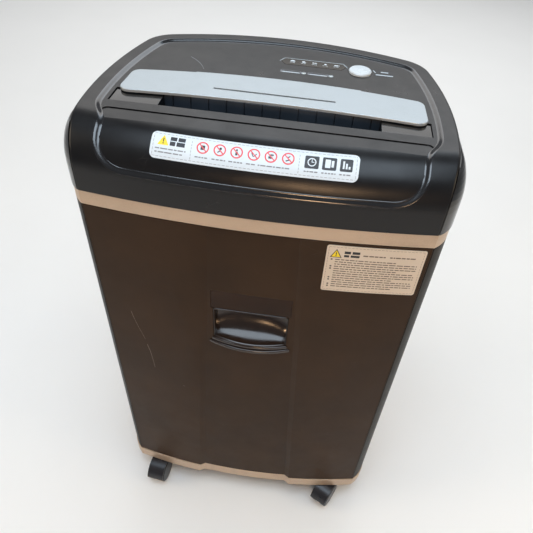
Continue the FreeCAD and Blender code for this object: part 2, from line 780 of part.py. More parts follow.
def bin_window():
    """A smoked window above the grip, let into the channel's floor."""
    label = "bin_window"
    body = new_body(label)
    sketch = new_sketch(body, "XZ_Plane", label + "_outline")
    draw_rectangle(sketch, "2 * handle_half + 7", "window_top - handle_top - 1.8")
    pad(body, sketch, "2.2")
    keep(place(body, "0", "front_corner_y - front_bow + 6.2", "( window_top + handle_top + 1.4 ) / 2"), label)


def bin_handle_cup():
    """The scooped finger grip with its bowed double lip."""
    half = dim("handle_half")
    low, high = dim("handle_bottom"), dim("handle_top")
    face = -132.6
    back = -99.0
    rim = half + CUP_BORDER
    block = slab((-rim, rim), (face, back), (low - 8, high + 1.2))
    depth = 30.0
    centre = Vector(-half, face - 1, low + depth)
    scoop = bar(depth, 2 * half, centre).common(slab((-half, half), (face - 40, back - 3), (low, high)))
    upper = slab((-half, half), (face - 1, face + 22), (low + 10, high))
    scoop = scoop.fuse(upper.common(bar(depth + 6, 2 * half, centre)))
    cup = block.cut(scoop)
    for reach, z_low, z_high, spread in ((9.0, low - 4, low, 4.4), (11.4, low - 9.4, low - 4.6, 7.2)):
        ends = half + spread
        foot = face - 1.6
        bow = Part.Arc(Vector(-ends, foot, z_low), Vector(0, face - reach, z_low), Vector(ends, foot, z_low))
        chord = Part.LineSegment(Vector(ends, foot, z_low), Vector(-ends, foot, z_low))
        lip = Part.Face(Part.Wire([bow.toShape(), chord.toShape()])).extrude(Vector(0, 0, z_high - z_low))
        cup = cup.fuse(lip)
    neck = slab((-half + 4, half - 4), (face - 5, face + 4), (low - 9, low - 1))
    feature("bin_handle_cup", cup.fuse(neck).removeSplitter())


LABEL_THICKNESS = 0.35


def panel_label():
    """The rectangular notice at the top right of the drawer front."""
    skin = panel_block(-LABEL_THICKNESS).cut(panel_block(0))
    feature("panel_label", skin.common(slab((72.0, 168.5), (-150, -100), (498.0, 559.5))))


def front_label():
    """The long notice on the rolled front of the head."""
    inset = dim("rim_drop")
    skin = head_form(inset - LABEL_THICKNESS, 590).cut(head_form(inset, 580))
    feature("front_label", skin.common(slab((-98.3, 89.2), (-150, -60), (626.3, 641.8))))


# ---------------------------------------------------------------- throat and top


def throat_guides():
    """Front wall and ribbed rear wall of the paper path."""
    half = dim("throat_half")
    top = dim("head_top") - dim("rim_drop") - dim("wall") - 0.1
    lip = dim("throat_front_y")
    span = Vector(2 * half, 0, 0)
    front = [(lip, top), (lip, 612.0), (-55.5, 588.0), (-57.8, 587.0), (lip - 2.5, 611.0), (lip - 2.5, top)]
    feature("throat_guide_front", prism([Vector(-half, y, z) for y, z in front], span))
    wall = rear_wall()
    wall = wall.makeFillet(3.0, [e for e in wall.Edges if is_crest(e, *WALL_CREST)])
    skin = [(-41, 645), (-34.3, 645), (-35.8, 621.6), (-48.2, 607.2), (-48.2, 599), (-54, 599), (-54, 607), (-41, 622)]
    pitch = dim("rib_pitch")
    count = int(2 * half / pitch)
    width = 1.4
    for i in range(count):
        x = (i - (count - 1) / 2) * pitch - width / 2
        wall = wall.cut(prism([Vector(x, y, z) for y, z in skin], Vector(width, 0, 0)))
    slot = slab((-2.6, 2.6), (-60, -30), (595.0, 611.0))
    feature("throat_guide_rear", wall.cut(slot))


WALL_CREST = (-37.5, 621.0)


def rear_wall():
    """The throat's rear wall before it is ribbed: an upright face over a leaning one."""
    half = dim("throat_half")
    rim = [(-33.2, 643.4), (-36.0, 643.4), WALL_CREST, (-50.0, 606.5), (-50.0, 600.0), (-47.6, 600.0), (-33.2, 616.0)]
    return prism([Vector(-half, y, z) for y, z in rim], Vector(2 * half, 0, 0))


def is_crest(edge, y, z):
    middle = edge.CenterOfMass
    return abs(middle.y - y) < 0.1 and abs(middle.z - z) < 0.1


def throat_ends():
    """Glossy blocks that fill the cover's opening beyond each end of the throat."""
    for side, name in ((-1, "throat_end_left"), (1, "throat_end_right")):
        inner, outer = dim("throat_half"), dim("throat_opening_half") - 0.2
        height = dim("head_top") - dim("rim_drop") - 1.2
        front, back = dim("throat_front_y") + 0.2, dim("throat_back_y") - 0.3
        body = slab(sorted((side * (inner + 0.2), side * outer)), (front, back), (height - 16, height))
        top = [e for e in body.Edges if abs(e.CenterOfMass.z - height) < 0.01]
        feature(name, body.makeFillet(0.8, top))


def entry_bridge_plate():
    """The pale plate that bridges the throat's rear edge and carries the disc slot."""
    base = dim("head_top") - dim("rim_drop")
    high = base + dim("plate_rise")
    front_half, back_half = 154.0, 152.0
    front_end, front_mid = dim("plate_front_y"), dim("plate_front_y") + 7.7
    back_end, back_mid = 6.5, 20.6
    front = Part.Arc(
        Vector(-front_half, front_end, base), Vector(0, front_mid, base), Vector(front_half, front_end, base)
    )
    back = Part.Arc(
        Vector(-back_half, back_end, base), Vector(0, back_mid, base), Vector(back_half, back_end, base)
    )
    edges = [front.toShape(), back.toShape()]
    edges.append(Part.LineSegment(front.StartPoint, back.StartPoint).toShape())
    edges.append(Part.LineSegment(front.EndPoint, back.EndPoint).toShape())
    plate = Part.Face(Part.Wire(Part.__sortEdges__(edges))).extrude(Vector(0, 0, high - base))
    uprights = [e for e in plate.Edges if abs(e.tangentAt(e.FirstParameter).z) > 0.9]
    plate = plate.makeFillet(10.0, uprights)
    rim = [e for e in plate.Edges if abs(e.BoundBox.ZMin - high) < 0.01]
    plate = plate.makeFillet(1.0, rim)
    for side in (-1, 1):
        plate = plate.cut(plate_scoop(side, high))
    feature("entry_bridge_plate", plate.cut(disc_slot_cutter()).removeSplitter())


def plate_scoop(side, high):
    """A shallow scooped area behind an S-shaped line at each end of the plate."""
    drop = 0.9
    path = Part.BezierCurve()
    path.setPoles(
        [
            Vector(side * 72, 26, high - drop),
            Vector(side * 104, 10, high - drop),
            Vector(side * 98, -27, high - drop),
            Vector(side * 160, -25, high - drop),
        ]
    )
    outer = Vector(side * 175, 30, high - drop)
    edges = [
        path.toShape(),
        Part.LineSegment(path.EndPoint, outer).toShape(),
        Part.LineSegment(outer, path.StartPoint).toShape(),
    ]
    return Part.Face(Part.Wire(edges)).extrude(Vector(0, 0, 5))


def disc_chute():
    """The sloping chute from the disc slot to the cutters."""
    half = dim("disc_slot_half") + 1
    top = dim("head_top") - dim("rim_drop") - dim("wall") - 0.1
    line = dim("disc_slot_y")
    gap = dim("disc_slot_gap") / 2 + 0.5
    outer = [(line - gap - 2, top), (line - gap - 2, 632), (-34, 602), (-47.6, 589), (-45, 587), (-31, 597)]
    outer += [(line + gap + 2, 630), (line + gap + 2, top)]
    inner = [(line - gap, top + 1), (line - gap, 631), (-33.5, 598.5), (-50, 583)]
    inner += [(-46.0, 584.5), (-31, 600), (line + gap, 631), (line + gap, top + 1)]
    shell = prism([Vector(-half - 2, y, z) for y, z in outer], Vector(2 * half + 4, 0, 0))
    room = prism([Vector(-half, y, z) for y, z in inner], Vector(2 * half, 0, 0))
    feature("disc_chute", shell.cut(room))


# ---------------------------------------------------------------- controls


def indicator_lens():
    top = dim("head_top") - dim("rim_drop")
    feature("indicator_lens", lens_prism(-0.25, top - 1.6, top + 0.2))


def indicator_leds():
    """Five lamps under the lens and two beside the legend bars, standing on the board."""
    lamps = []
    for i in range(5):
        lamps.append(bar(2.4, 7.0, Vector(9.0 + 12.4 * i, dim("lens_y"), dim("board_top")), Vector(0, 0, 1)))
    for x, y in LEGEND_LAMPS:
        lamps.append(bar(1.5, 13.4, Vector(x, y, dim("board_top")), Vector(0, 0, 1)))
    feature("indicator_leds", Part.makeCompound(lamps))


def control_board():
    """The circuit board under the controls, with the button's tactile switch."""
    board = box("control_board_plate", "124", "54", "1.6", "-12", "38", "board_top - 1.6")
    switch = box("tactile_switch", "6", "6", "3.2", "button_x - 3", "button_y - 3", "board_top")
    stem = cylinder("tactile_stem", "1.7", "0.8", Vector(0, 0, 1), "button_x", "button_y", "board_top + 3.2")
    chip = box("driver_chip", "10", "16", "2", "-4", "46", "board_top")
    posts = []
    for i, (x, y) in enumerate((("-8", "88"), ("108", "88"), ("-8", "42"), ("108", "42"))):
        height = "head_top - rim_drop - wall - board_top"
        posts.append(cylinder(f"board_post_{i}", "2.5", height, Vector(0, 0, 1), x, y, "board_top"))
    keep(fuse("control_board_all", [board, switch, stem, chip, *posts]), "control_board")


def function_button():
    """The round function button: a domed cap with a skirt and a stem over the switch."""
    radius = dim("button_radius")
    top = dim("head_top") - dim("rim_drop") + dim("button_rise")
    seat = dim("board_top") + 5.8
    depth = top - seat
    points = [
        (0, 0), (2.5, 0), (2.5, depth - 4.5), (radius - 2.2, depth - 4.5), (radius - 2.2, 4.0),
        (radius, 4.0), (radius, depth - 1.4), (radius - 1.2, depth - 0.3), (radius - 3.2, depth - 0.2), (0, depth),
    ]
    body = revolved_body("function_button", points)
    keep(place(body, "button_x", "button_y", "board_top + 5.8"), "function_button")


def power_switch():
    """The mains rocker and its bezel in the back of the head."""
    bezel = slab((-9.8, 9.8), (118, 136.6), (SWITCH_Z - 12.8, SWITCH_Z + 12.8))
    collar = slab((-12.5, 12.5), (137.02, 138.9), (SWITCH_Z - 15.5, SWITCH_Z + 15.5))
    neck = slab((-9.8, 9.8), (136, 138.0), (SWITCH_Z - 12.8, SWITCH_Z + 12.8))
    room = slab((-7.0, 7.0), (123, 145), (SWITCH_Z - 10, SWITCH_Z + 10))
    bezel = bezel.fuse([neck, collar]).removeSplitter().cut(room)
    pin_line = Vector(0, 131.0, SWITCH_Z)
    bezel = bezel.cut(bar(1.55, 18.0, pin_line - Vector(9, 0, 0)))
    feature("power_switch_bezel", bezel)
    profile = [(-7.2, 139.6), (0.0, 137.6), (7.2, 141.4), (8.6, 137.0), (4.0, 128.0), (-4.0, 128.0), (-8.6, 135.6)]
    ring = [Vector(-6.6, y, SWITCH_Z + z) for z, y in profile]
    rocker = prism(ring, Vector(13.2, 0, 0))
    rocker = rocker.fuse(bar(1.5, 17.0, pin_line - Vector(8.5, 0, 0))).removeSplitter()
    feature("power_rocker", rocker)


def power_inlet():
    """The gland where the mains lead leaves the back of the head."""
    points = [
        (3.6, -14.0), (7.8, -14.0), (7.8, 0.05), (11.0, 0.05), (11.0, 2.4), (8.4, 3.4), (7.0, 8.0), (3.6, 8.0),
    ]
    body = revolved_body("power_inlet", points)
    body.Placement = move_back(back_placement(INLET_X, SWITCH_Z))
    keep(body, "power_inlet")


# ---------------------------------------------------------------- cutter block


def cutter_rollers():
    """Two machined rollers: hub, journals and hooked discs. Their discs pass between each other."""
    pitch, count, width = dim("disc_pitch"), int(dim("disc_count")), dim("disc_width")
    ends = dim("frame_x") - 1.0
    tail = dim("frame_x") + dim("frame_plate") + 3
    for name, y, shift, reach in (
        ("front", dim("front_roller_y"), -pitch / 4, 135.0),
        ("rear", dim("rear_roller_y"), pitch / 4, 146.0),
    ):
        shaft = bar(dim("hub_radius"), 2 * ends, Vector(-ends, 0, 0))
        journal = bar(dim("journal_radius"), tail + reach, Vector(-tail, 0, 0))
        discs = []
        for i in range(count):
            x = (i - (count - 1) / 2) * pitch + shift - width / 2
            discs.append(cutting_disc(x, width, i))
        roller = shaft.multiFuse([journal, *discs])
        roller.translate(Vector(0, y, dim("roller_z")))
        feature(f"cutter_roller_{name}", roller)


def cutting_disc(x, width, number):
    """One disc: a circle with hooks, turned a little from its neighbour."""
    hooks = 6
    root, tip = dim("cutter_radius"), dim("hook_radius")
    disc = bar(root, width, Vector(x, 0, 0))
    step = 2 * math.pi / hooks
    teeth = []
    for i in range(hooks):
        start = i * step + number * step / 5
        points = []
        for radius, angle in ((root - 1, -0.30), (root, -0.28), (tip, 0.0), (root - 1, 0.02)):
            turn = start + angle
            points.append(Vector(x, radius * math.cos(turn), radius * math.sin(turn)))
        teeth.append(prism(points, Vector(width, 0, 0)))
    return disc.multiFuse(teeth)


def stripper_combs():
    """Combs whose fingers reach between the discs and clear the strips from the rollers."""
    pitch, count = dim("disc_pitch"), int(dim("disc_count"))
    finger = 3.2
    reach = dim("hub_radius") + 0.6
    z = dim("roller_z")
    for name, y, shift, way in (
        ("front", dim("front_roller_y"), -pitch / 4, -1),
        ("rear", dim("rear_roller_y"), pitch / 4, 1),
    ):
        far = y + way * (dim("hook_radius") + 4.4)
        near = y + way * (dim("hook_radius") + 1.4)
        spine = slab((-dim("frame_x"), dim("frame_x")), sorted((near, far)), (z - 11, z + 11))
        fingers = []
        for i in range(count + 1):
            x = (i - count / 2) * pitch + shift
            fingers.append(slab((x - finger / 2, x + finger / 2), sorted((y + way * 6, near + way)), (z - 9, z + 9)))
        comb = spine.multiFuse(fingers).cut(bar(reach, 300, Vector(-150, y, z)))
        feature(f"stripper_comb_{name}", comb.removeSplitter())


def frame_points():
    """Tie rod positions in the side plates."""
    z = dim("roller_z")
    return [(-98.0, z - 33), (-98.0, z + 38), (4.0, z - 33), (94.0, z + 45)]


def cutter_plates():
    """Two steel side plates with bearing seats, tie rod holes and the motor's pilot hole."""
    z = dim("roller_z")
    rim = [(-107, z - 41), (14, z - 41), (84, z - 28), (99, z - 6), (101, z + 53), (-107, z + 45)]
    thick = dim("frame_plate")
    for name, x in (("left", -dim("frame_x") - thick), ("right", dim("frame_x"))):
        plate = prism([Vector(x, y, height) for y, height in rim], Vector(thick, 0, 0))
        holes = []
        for y in (dim("front_roller_y"), dim("rear_roller_y")):
            holes.append(bar(dim("bearing_radius"), 20, Vector(x - 5, y, z)))
        for y, height in frame_points():
            holes.append(bar(3.2, 20, Vector(x - 5, y, height)))
        if name == "right":
            holes.append(bar(8.0, 20, Vector(x - 5, dim("motor_y"), dim("motor_z"))))
            for centre in gear_centres()[1:3]:
                holes.append(bar(dim("axle_radius"), 20, Vector(x - 5, centre.y, centre.z)))
        feature(f"cutter_plate_{name}", plate.cut(Part.makeCompound(holes)))


def tie_rods():
    """Four rods that hold the side plates apart."""
    inner = dim("frame_x")
    rods = [bar(dim("tie_rod_radius"), 2 * inner, Vector(-inner, y, z)) for y, z in frame_points()]
    feature("tie_rods", Part.makeCompound(rods))


def frame_screws():
    """Hexagon-headed screws through the side plates into the tie rods."""
    out = dim("frame_x") + dim("frame_plate")
    screws = []
    for y, z in frame_points():
        for side in (-1, 1):
            start = Vector(side * (out - 4), y, z)
            head = [Vector(side * out, y + 5 * math.cos(a), z + 5 * math.sin(a)) for a in hexagon_angles()]
            shank = bar(3.15, 4.0, start, Vector(side, 0, 0))
            screws.append(prism(head, Vector(side * 3.5, 0, 0)).fuse(shank).removeSplitter())
    feature("frame_screws", Part.makeCompound(screws))


def hexagon_angles():
    return [i * math.pi / 3 for i in range(6)]


def cutter_bearings():
    """Four flanged bearings for the rollers."""
    bore = dim("journal_radius") + dim("running_gap")
    rings = []
    for side in (-1, 1):
        for y in (dim("front_roller_y"), dim("rear_roller_y")):
            start = Vector(side * (dim("frame_x") - 0.5), y, dim("roller_z"))
            ring = bar(dim("bearing_radius"), 5.5, start, Vector(side, 0, 0))
            rings.append(ring.cut(bar(bore, 5.5, start, Vector(side, 0, 0))))
    feature("cutter_bearings", Part.makeCompound(rings))


# ---------------------------------------------------------------- gear train


def involute(base, radius):
    """Angle swept by an involute of a base circle when it reaches a radius."""
    if radius <= base:
        return 0.0
    roll = math.sqrt((radius / base) ** 2 - 1)
    return roll - math.atan(roll)


def gear_wire(module, teeth):
    """Tooth outline with straight chords inside the involute and a little backlash."""
    pitch = module * teeth / 2
    base = pitch * math.cos(math.radians(20))
    root, tip = pitch - 1.25 * module, pitch + 0.92 * module
    half_tooth = math.pi / (2 * teeth) - 0.055 * module / pitch
    zero = half_tooth + involute(base, pitch)
    points = []
    for i in range(teeth):
        middle = 2 * math.pi * i / teeth
        start = max(base, root)
        radii = [start, (start + pitch) / 2, pitch, (pitch + tip) / 2, tip]
        rising = [(r, middle - zero + involute(base, r)) for r in radii]
        falling = [(r, middle + zero - involute(base, r)) for r in reversed(radii)]
        foot = [] if root >= base else [(root, middle - zero)]
        heel = [] if root >= base else [(root, middle + zero)]
        for r, angle in [*foot, *rising, *falling, *heel]:
            points.append(Vector(r * math.cos(angle), r * math.sin(angle), 0))
    return Part.makePolygon([*points, points[0]])


def gear(module, teeth, width, start=0.0, bore=0.0):
    """A spur gear about the local Z axis."""
    blank = Part.Face(gear_wire(module, teeth)).extrude(Vector(0, 0, width))
    blank.translate(Vector(0, 0, start))
    if bore:
        blank = blank.cut(bar(bore, width, Vector(0, 0, start), Vector(0, 0, 1)))
    return blank


SYNC = (2.0, 22)
FINAL_GEAR = (2.0, 34)
FINAL_PINION = (2.0, 12)
MIDDLE_GEAR = (1.5, 40)
MIDDLE_PINION = (1.5, 12)
FIRST_GEAR = (1.0, 48)
MOTOR_PINION = (1.0, 12)


def centre_distance(one, two):
    return one[0] * (one[1] + two[1]) / 2


def gear_centres():
    """Axes of the rear roller, the second gear, the first gear and the motor."""
    roller = Vector(0, dim("rear_roller_y"), dim("roller_z"))
    motor = Vector(0, dim("motor_y"), dim("motor_z"))
    reach = centre_distance(FINAL_GEAR, FINAL_PINION)
    lean = math.radians(-10)
    second = roller + Vector(0, math.cos(lean), math.sin(lean)).multiply(reach)
    near = centre_distance(MIDDLE_GEAR, MIDDLE_PINION)
    far = centre_distance(FIRST_GEAR, MOTOR_PINION)
    span = motor - second
    along = (near**2 - far**2 + span.Length**2) / (2 * span.Length)
    rise = math.sqrt(near**2 - along**2)
    unit = Vector(span).normalize()
    up = Vector(0, -unit.z, unit.y)
    first = second + Vector(unit).multiply(along) + up.multiply(rise)
    return [roller, second, first, motor]


def direction(start, end):
    return math.atan2(end.z - start.z, end.y - start.y)


def mesh_angle(turn, driver, follower, heading):
    """Angle at which a follower's teeth fall into a driver's gaps."""
    offset = turn - heading
    return heading + math.pi - offset * driver[1] / follower[1] + math.pi / follower[1]


def gear_train():
    """Sync gears, final gear, two compound reduction gears and the motor's rotor with its pinion."""
    roller, second, first, motor = gear_centres()
    front = Vector(0, dim("front_roller_y"), dim("roller_z"))
    fit = dim("journal_radius")
    loose = dim("axle_radius") + dim("running_gap")

    rear_turn = 0.0
    front_turn = mesh_angle(rear_turn, SYNC, SYNC, direction(roller, front))
    final_turn = 0.0
    second_turn = mesh_angle(final_turn, FINAL_GEAR, FINAL_PINION, direction(roller, second))
    first_turn = mesh_angle(second_turn, MIDDLE_GEAR, MIDDLE_PINION, direction(second, first))
    motor_turn = mesh_angle(first_turn, FIRST_GEAR, MOTOR_PINION, direction(first, motor))

    def put(label, shape, centre, turn):
        shape.Placement = along_x(0, centre.y, centre.z, turn)
        feature(label, shape)

    put("sync_gear_rear", gear(*SYNC, 10, 124, fit), roller, rear_turn)
    put("sync_gear_front", gear(*SYNC, 10, 124, fit), front, front_turn)
    put("final_gear", gear(*FINAL_GEAR, 9, 136, fit), roller, final_turn)
    web = bar(7.0, 5, Vector(0, 0, 143.5), Vector(0, 0, 1)).cut(bar(loose, 9, Vector(0, 0, 142), Vector(0, 0, 1)))
    pinion = gear(*FINAL_PINION, 10, 135, loose)
    put("second_gear", pinion.multiFuse([web, gear(*MIDDLE_GEAR, 6, 147, loose)]), second, second_turn)
    hub = bar(6.0, 26, Vector(0, 0, 126), Vector(0, 0, 1)).cut(bar(loose, 28, Vector(0, 0, 125), Vector(0, 0, 1)))
    wheel = gear(*FIRST_GEAR, 6, 126, loose)
    put("first_gear", wheel.multiFuse([hub, gear(*MIDDLE_PINION, 9, 146, loose)]), first, first_turn)
    pin = bar(3.9, 34, Vector(0, 0, 93), Vector(0, 0, 1))
    core = bar(18.0, 50, Vector(0, 0, 44), Vector(0, 0, 1))
    rotor = gear(*MOTOR_PINION, 8, 125).multiFuse([pin, core])
    put("motor_rotor", rotor, motor, motor_turn)


def gear_supports():
    """Fixed axles of the reduction gears and the plate that holds their outer ends."""
    _, second, first, _ = gear_centres()
    start = dim("frame_x")
    far = 155.5
    axles = [bar(dim("axle_radius"), far + 2.5 - start, Vector(start, c.y, c.z)) for c in (second, first)]
    feature("gear_axles", Part.makeCompound(axles))
    rim = [(2.0, 534.0), (30.0, 534.0), (54.0, 562.0), (54.0, 586.0), (30.0, 586.0), (2.0, 560.0)]
    plate = prism([Vector(far, y, z) for y, z in rim], Vector(2.5, 0, 0))
    for c in (second, first):
        plate = plate.cut(bar(dim("axle_radius"), 10, Vector(far - 2, c.y, c.z)))
    feature("gear_support_plate", plate)


def motor():
    """Motor housing with end bells and cooling slots, hollow round its rotor."""
    radius, length = dim("motor_radius"), dim("motor_length")
    axis = Vector(0, dim("motor_y"), dim("motor_z"))
    far = dim("frame_x")
    start = far - length
    can = bar(radius, length - 10, axis + Vector(start + 5, 0, 0))
    bells = [bar(radius - 3, 5, axis + Vector(x, 0, 0)) for x in (start, far - 5)]
    room = bar(19.0, 62, axis + Vector(38, 0, 0))
    nose = bar(3.9 + dim("running_gap"), 30, axis + Vector(95, 0, 0))
    body = can.multiFuse(bells).removeSplitter()
    feature("motor_housing", body.cut(room).cut(nose))


def electrics():
    """Run capacitor and mains board on the floor of the tub."""
    floor = "pan_bottom + wall"
    keep(cylinder("capacitor_can", "15", "60", Vector(1, 0, 0), "-104", "84", "pan_bottom + wall + 17"), "run_capacitor")
    board = box("mains_board_plate", "80", "48", "1.6", "-100", "22", "pan_bottom + wall + 6")
    relay = box("mains_relay", "20", "16", "16", "-90", "30", "pan_bottom + wall + 7.6")
    block = box("terminal_block", "30", "10", "12", "-60", "56", "pan_bottom + wall + 7.6")
    feet = []
    for i, (x, y) in enumerate((("-96", "26"), ("-24", "26"), ("-96", "66"), ("-24", "66"))):
        feet.append(cylinder(f"board_foot_{i}", "3", "6", Vector(0, 0, 1), x, y, floor))
    keep(fuse("mains_board_all", [board, relay, block, *feet]), "power_board")


def cutter_mounts():
    """Rubber blocks that carry the side plates on the floor of the tub."""
    blocks = []
    height = dim("roller_z") - 41 - dim("pan_bottom") - dim("wall")
    for side in (-1, 1):
        for y in (-107.0, -10.0):
            x = side * (dim("frame_x") + 2)
            low = dim("pan_bottom") + dim("wall")
            blocks.append(slab((x - 5, x + 5), (y, y + 14), (low, low + height)))
    feature("cutter_mounts", Part.makeCompound(blocks))


# ---------------------------------------------------------------- sensing


def interlock():
    """The switch on the cabinet's back that feels the closed bin, and its plunger."""
    x, z = -96.0, 440.0
    back = 116.0
    case = slab((x - 14, x + 14), (102.0, back), (z - 9, z + 9))
    bore = bar(2.05, 12.0, Vector(x, 101.0, z), Vector(0, 1, 0))
    foot = slab((x - 14, x + 14), (back, back + 12), (z - 9, z + 9)).common(outline_solid(4.0, z - 20, z + 20))
    feature("interlock_switch", case.fuse(foot).removeSplitter().cut(bore))
    nose = dim("bin_rear_y") + dim("bin_clearance")
    feature("interlock_plunger", bar(2.0, 109.0 - nose, Vector(x, nose, z), Vector(0, 1, 0)))


SENSOR_PIVOT = Vector(0, -39.0, 605.0)


def paper_sensor():
    """The flag that feels paper in the throat, and the bracket with its pin holes."""
    pivot = SENSOR_PIVOT
    flag = [(-57.3, 604.0), (-56.0, 601.6), (-39.0, 602.6), (-37.3, 605.0), (-39.0, 607.4), (-54.0, 607.2)]
    arm = prism([Vector(-1.6, y, z) for y, z in flag], Vector(3.2, 0, 0))
    pin = bar(1.2, 12.0, pivot - Vector(6, 0, 0))
    feature("paper_sensor_lever", arm.fuse(pin).removeSplitter())
    cheek = slab((-7.5, 7.5), (-41.6, -36.8), (602.2, 608.0))
    strap = slab((-7.5, 7.5), (-37.4, -35.2), (602.2, 616.0))
    passage = slab((-3.6, 3.6), (-60, -37.0), (600, 611))
    bracket = cheek.fuse(strap).removeSplitter().cut(passage).cut(rear_wall())
    feature("paper_sensor_bracket", bracket.cut(bar(1.2 + dim("running_gap"), 40, pivot - Vector(20, 0, 0))))


# ---------------------------------------------------------------- casters


def casters():
    """Four hooded twin-wheel casters, each a swivelling hood with its stem and a pair of wheels."""
    for name, side, end, heading in CASTERS:
        axis = caster_axis(side, end)
        turn = Placement(axis, Rotation(Vector(0, 0, 1), heading))
        for kind, shape in (("hood", caster_hood()), ("wheels", caster_wheels())):
            shape.Placement = turn
            feature(f"caster_{kind}_{name}", shape)


def caster_hood():
    """Hood, web and stem, with the wheels trailing along local +X."""
    radius, trail = dim("wheel_radius"), dim("caster_trail")
    gap, width = dim("wheel_gap"), dim("wheel_width")
    half = gap / 2 + width - 1
    centre = Vector(trail, 0, radius)
    top = dim("base_bottom") + 1.4
    cheek = bar(radius + 3.0, 2 * half, centre - Vector(0, half, 0), Vector(0, 1, 0))
    room = bar(radius + 1.0, 2 * half + 2, centre - Vector(0, half + 1, 0), Vector(0, 1, 0))
    above = slab((-60, 80), (-60, 60), (radius + 4.0, top - 2.0))
    hood = cheek.cut(room).common(above)
    web = bar(radius - 1.5, gap - 1.2, centre - Vector(0, (gap - 1.2) / 2, 0), Vector(0, 1, 0))
    spine = slab((-6.5, trail), (-(gap - 1.2) / 2, (gap - 1.2) / 2), (radius + 2, radius + 20.0))
    crown = slab((-6.5, trail), (-(gap - 1.2) / 2, (gap - 1.2) / 2), (radius + 10, top - 2.0))
    neck = bar(7.0, top - 32.0, Vector(0, 0, 32.0), Vector(0, 0, 1))
    stem = bar(dim("stem_radius"), 16.0, Vector(0, 0, top - 1), Vector(0, 0, 1))
    web = web.multiFuse([spine, crown]).common(slab((-60, 80), (-60, 60), (4.0, top - 2.0)))
    neck = neck.cut(bar(radius + 0.9, 60, centre - Vector(0, 30, 0), Vector(0, 1, 0)))
    body = hood.multiFuse([web, neck, stem]).removeSplitter()
    return body.cut(bar(2.5 + dim("running_gap"), 40, centre - Vector(0, 20, 0), Vector(0, 1, 0)))


def caster_wheels():
    """Two wheels pressed on one axle."""
    radius, trail = dim("wheel_radius"), dim("caster_trail")
    gap, width = dim("wheel_gap"), dim("wheel_width")
    centre = Vector(trail, 0, radius)
    axle = bar(2.5, gap + width, centre - Vector(0, (gap + width) / 2, 0), Vector(0, 1, 0))
    solids = [axle]
    for way in (-1, 1):
        wheel = bar(radius, width, centre + Vector(0, way * gap / 2, 0), Vector(0, way, 0))
        rims = [e for e in wheel.Edges if abs(abs(e.CenterOfMass.y) - gap / 2 - width) < 0.01]
        wheel = wheel.makeFillet(2.5, rims)
        solids.append(wheel)
    return solids[0].multiFuse(solids[1:]).removeSplitter()


# ---------------------------------------------------------------- build and write


def check_and_write():
    """Refuse a failed object or an invalid shape, then write each sub-part to its own file."""
    doc.recompute()
    for item in doc.Objects:
        if "Invalid" in item.State or "Error" in item.State:
            raise RuntimeError(f"{item.Label} did not recompute: {item.State}")
    for item in NODES:
        shape = item.Shape
        if shape.isNull() or not shape.isValid() or shape.Volume <= 0:
            raise RuntimeError(f"{item.Label} has no valid solid")
    os.makedirs("parts", exist_ok=True)
    for item in NODES:
        item.Shape.exportStep(f"parts/{item.Label}.step")
        print(f"{item.Label:24s} {item.Shape.Volume / 1000:9.2f} cm3  {len(item.Shape.Solids)} solid(s)")


head_top_cover()
head_side_panels()
trim_band()
head_bottom_pan()
cabinet_shell()
base_trim()
base_tray()
bin_front_panel()
bin_body()
bin_window()
bin_handle_cup()
panel_label()
front_label()
throat_guides()
throat_ends()
entry_bridge_plate()
disc_chute()
indicator_lens()
indicator_leds()
control_board()
function_button()
power_switch()
power_inlet()
cutter_rollers()
stripper_combs()
cutter_plates()
tie_rods()
frame_screws()
cutter_bearings()
gear_train()
gear_supports()
motor()
electrics()
cutter_mounts()
interlock()
paper_sensor()
casters()
check_and_write()
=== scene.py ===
"""Deskside paper shredder: finishes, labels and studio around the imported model. Metres, Z up, -Y front."""
import math
import random

import bmesh
import bpy
from mathutils import Matrix, Vector


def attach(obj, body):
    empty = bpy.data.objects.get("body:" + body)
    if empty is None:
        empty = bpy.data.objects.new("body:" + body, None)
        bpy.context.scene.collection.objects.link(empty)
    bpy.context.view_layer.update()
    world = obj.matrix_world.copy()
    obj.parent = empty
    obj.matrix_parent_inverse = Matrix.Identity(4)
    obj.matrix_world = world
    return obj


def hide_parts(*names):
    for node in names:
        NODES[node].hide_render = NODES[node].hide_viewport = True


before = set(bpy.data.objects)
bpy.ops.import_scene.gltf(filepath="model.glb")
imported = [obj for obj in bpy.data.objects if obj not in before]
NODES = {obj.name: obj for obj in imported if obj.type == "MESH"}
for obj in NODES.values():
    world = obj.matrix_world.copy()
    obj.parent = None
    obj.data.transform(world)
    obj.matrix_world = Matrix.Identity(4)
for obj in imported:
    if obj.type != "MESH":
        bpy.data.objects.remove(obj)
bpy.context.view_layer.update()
MM = 0.001


# ---------------------------------------------------------------- material building


def tone(red, green, blue):
    """Linear colour of a display colour given as 0 to 255."""
    def linear(value):
        value /= 255
        return value / 12.92 if value <= 0.04045 else ((value + 0.055) / 1.055) ** 2.4
    return (linear(red), linear(green), linear(blue), 1.0)


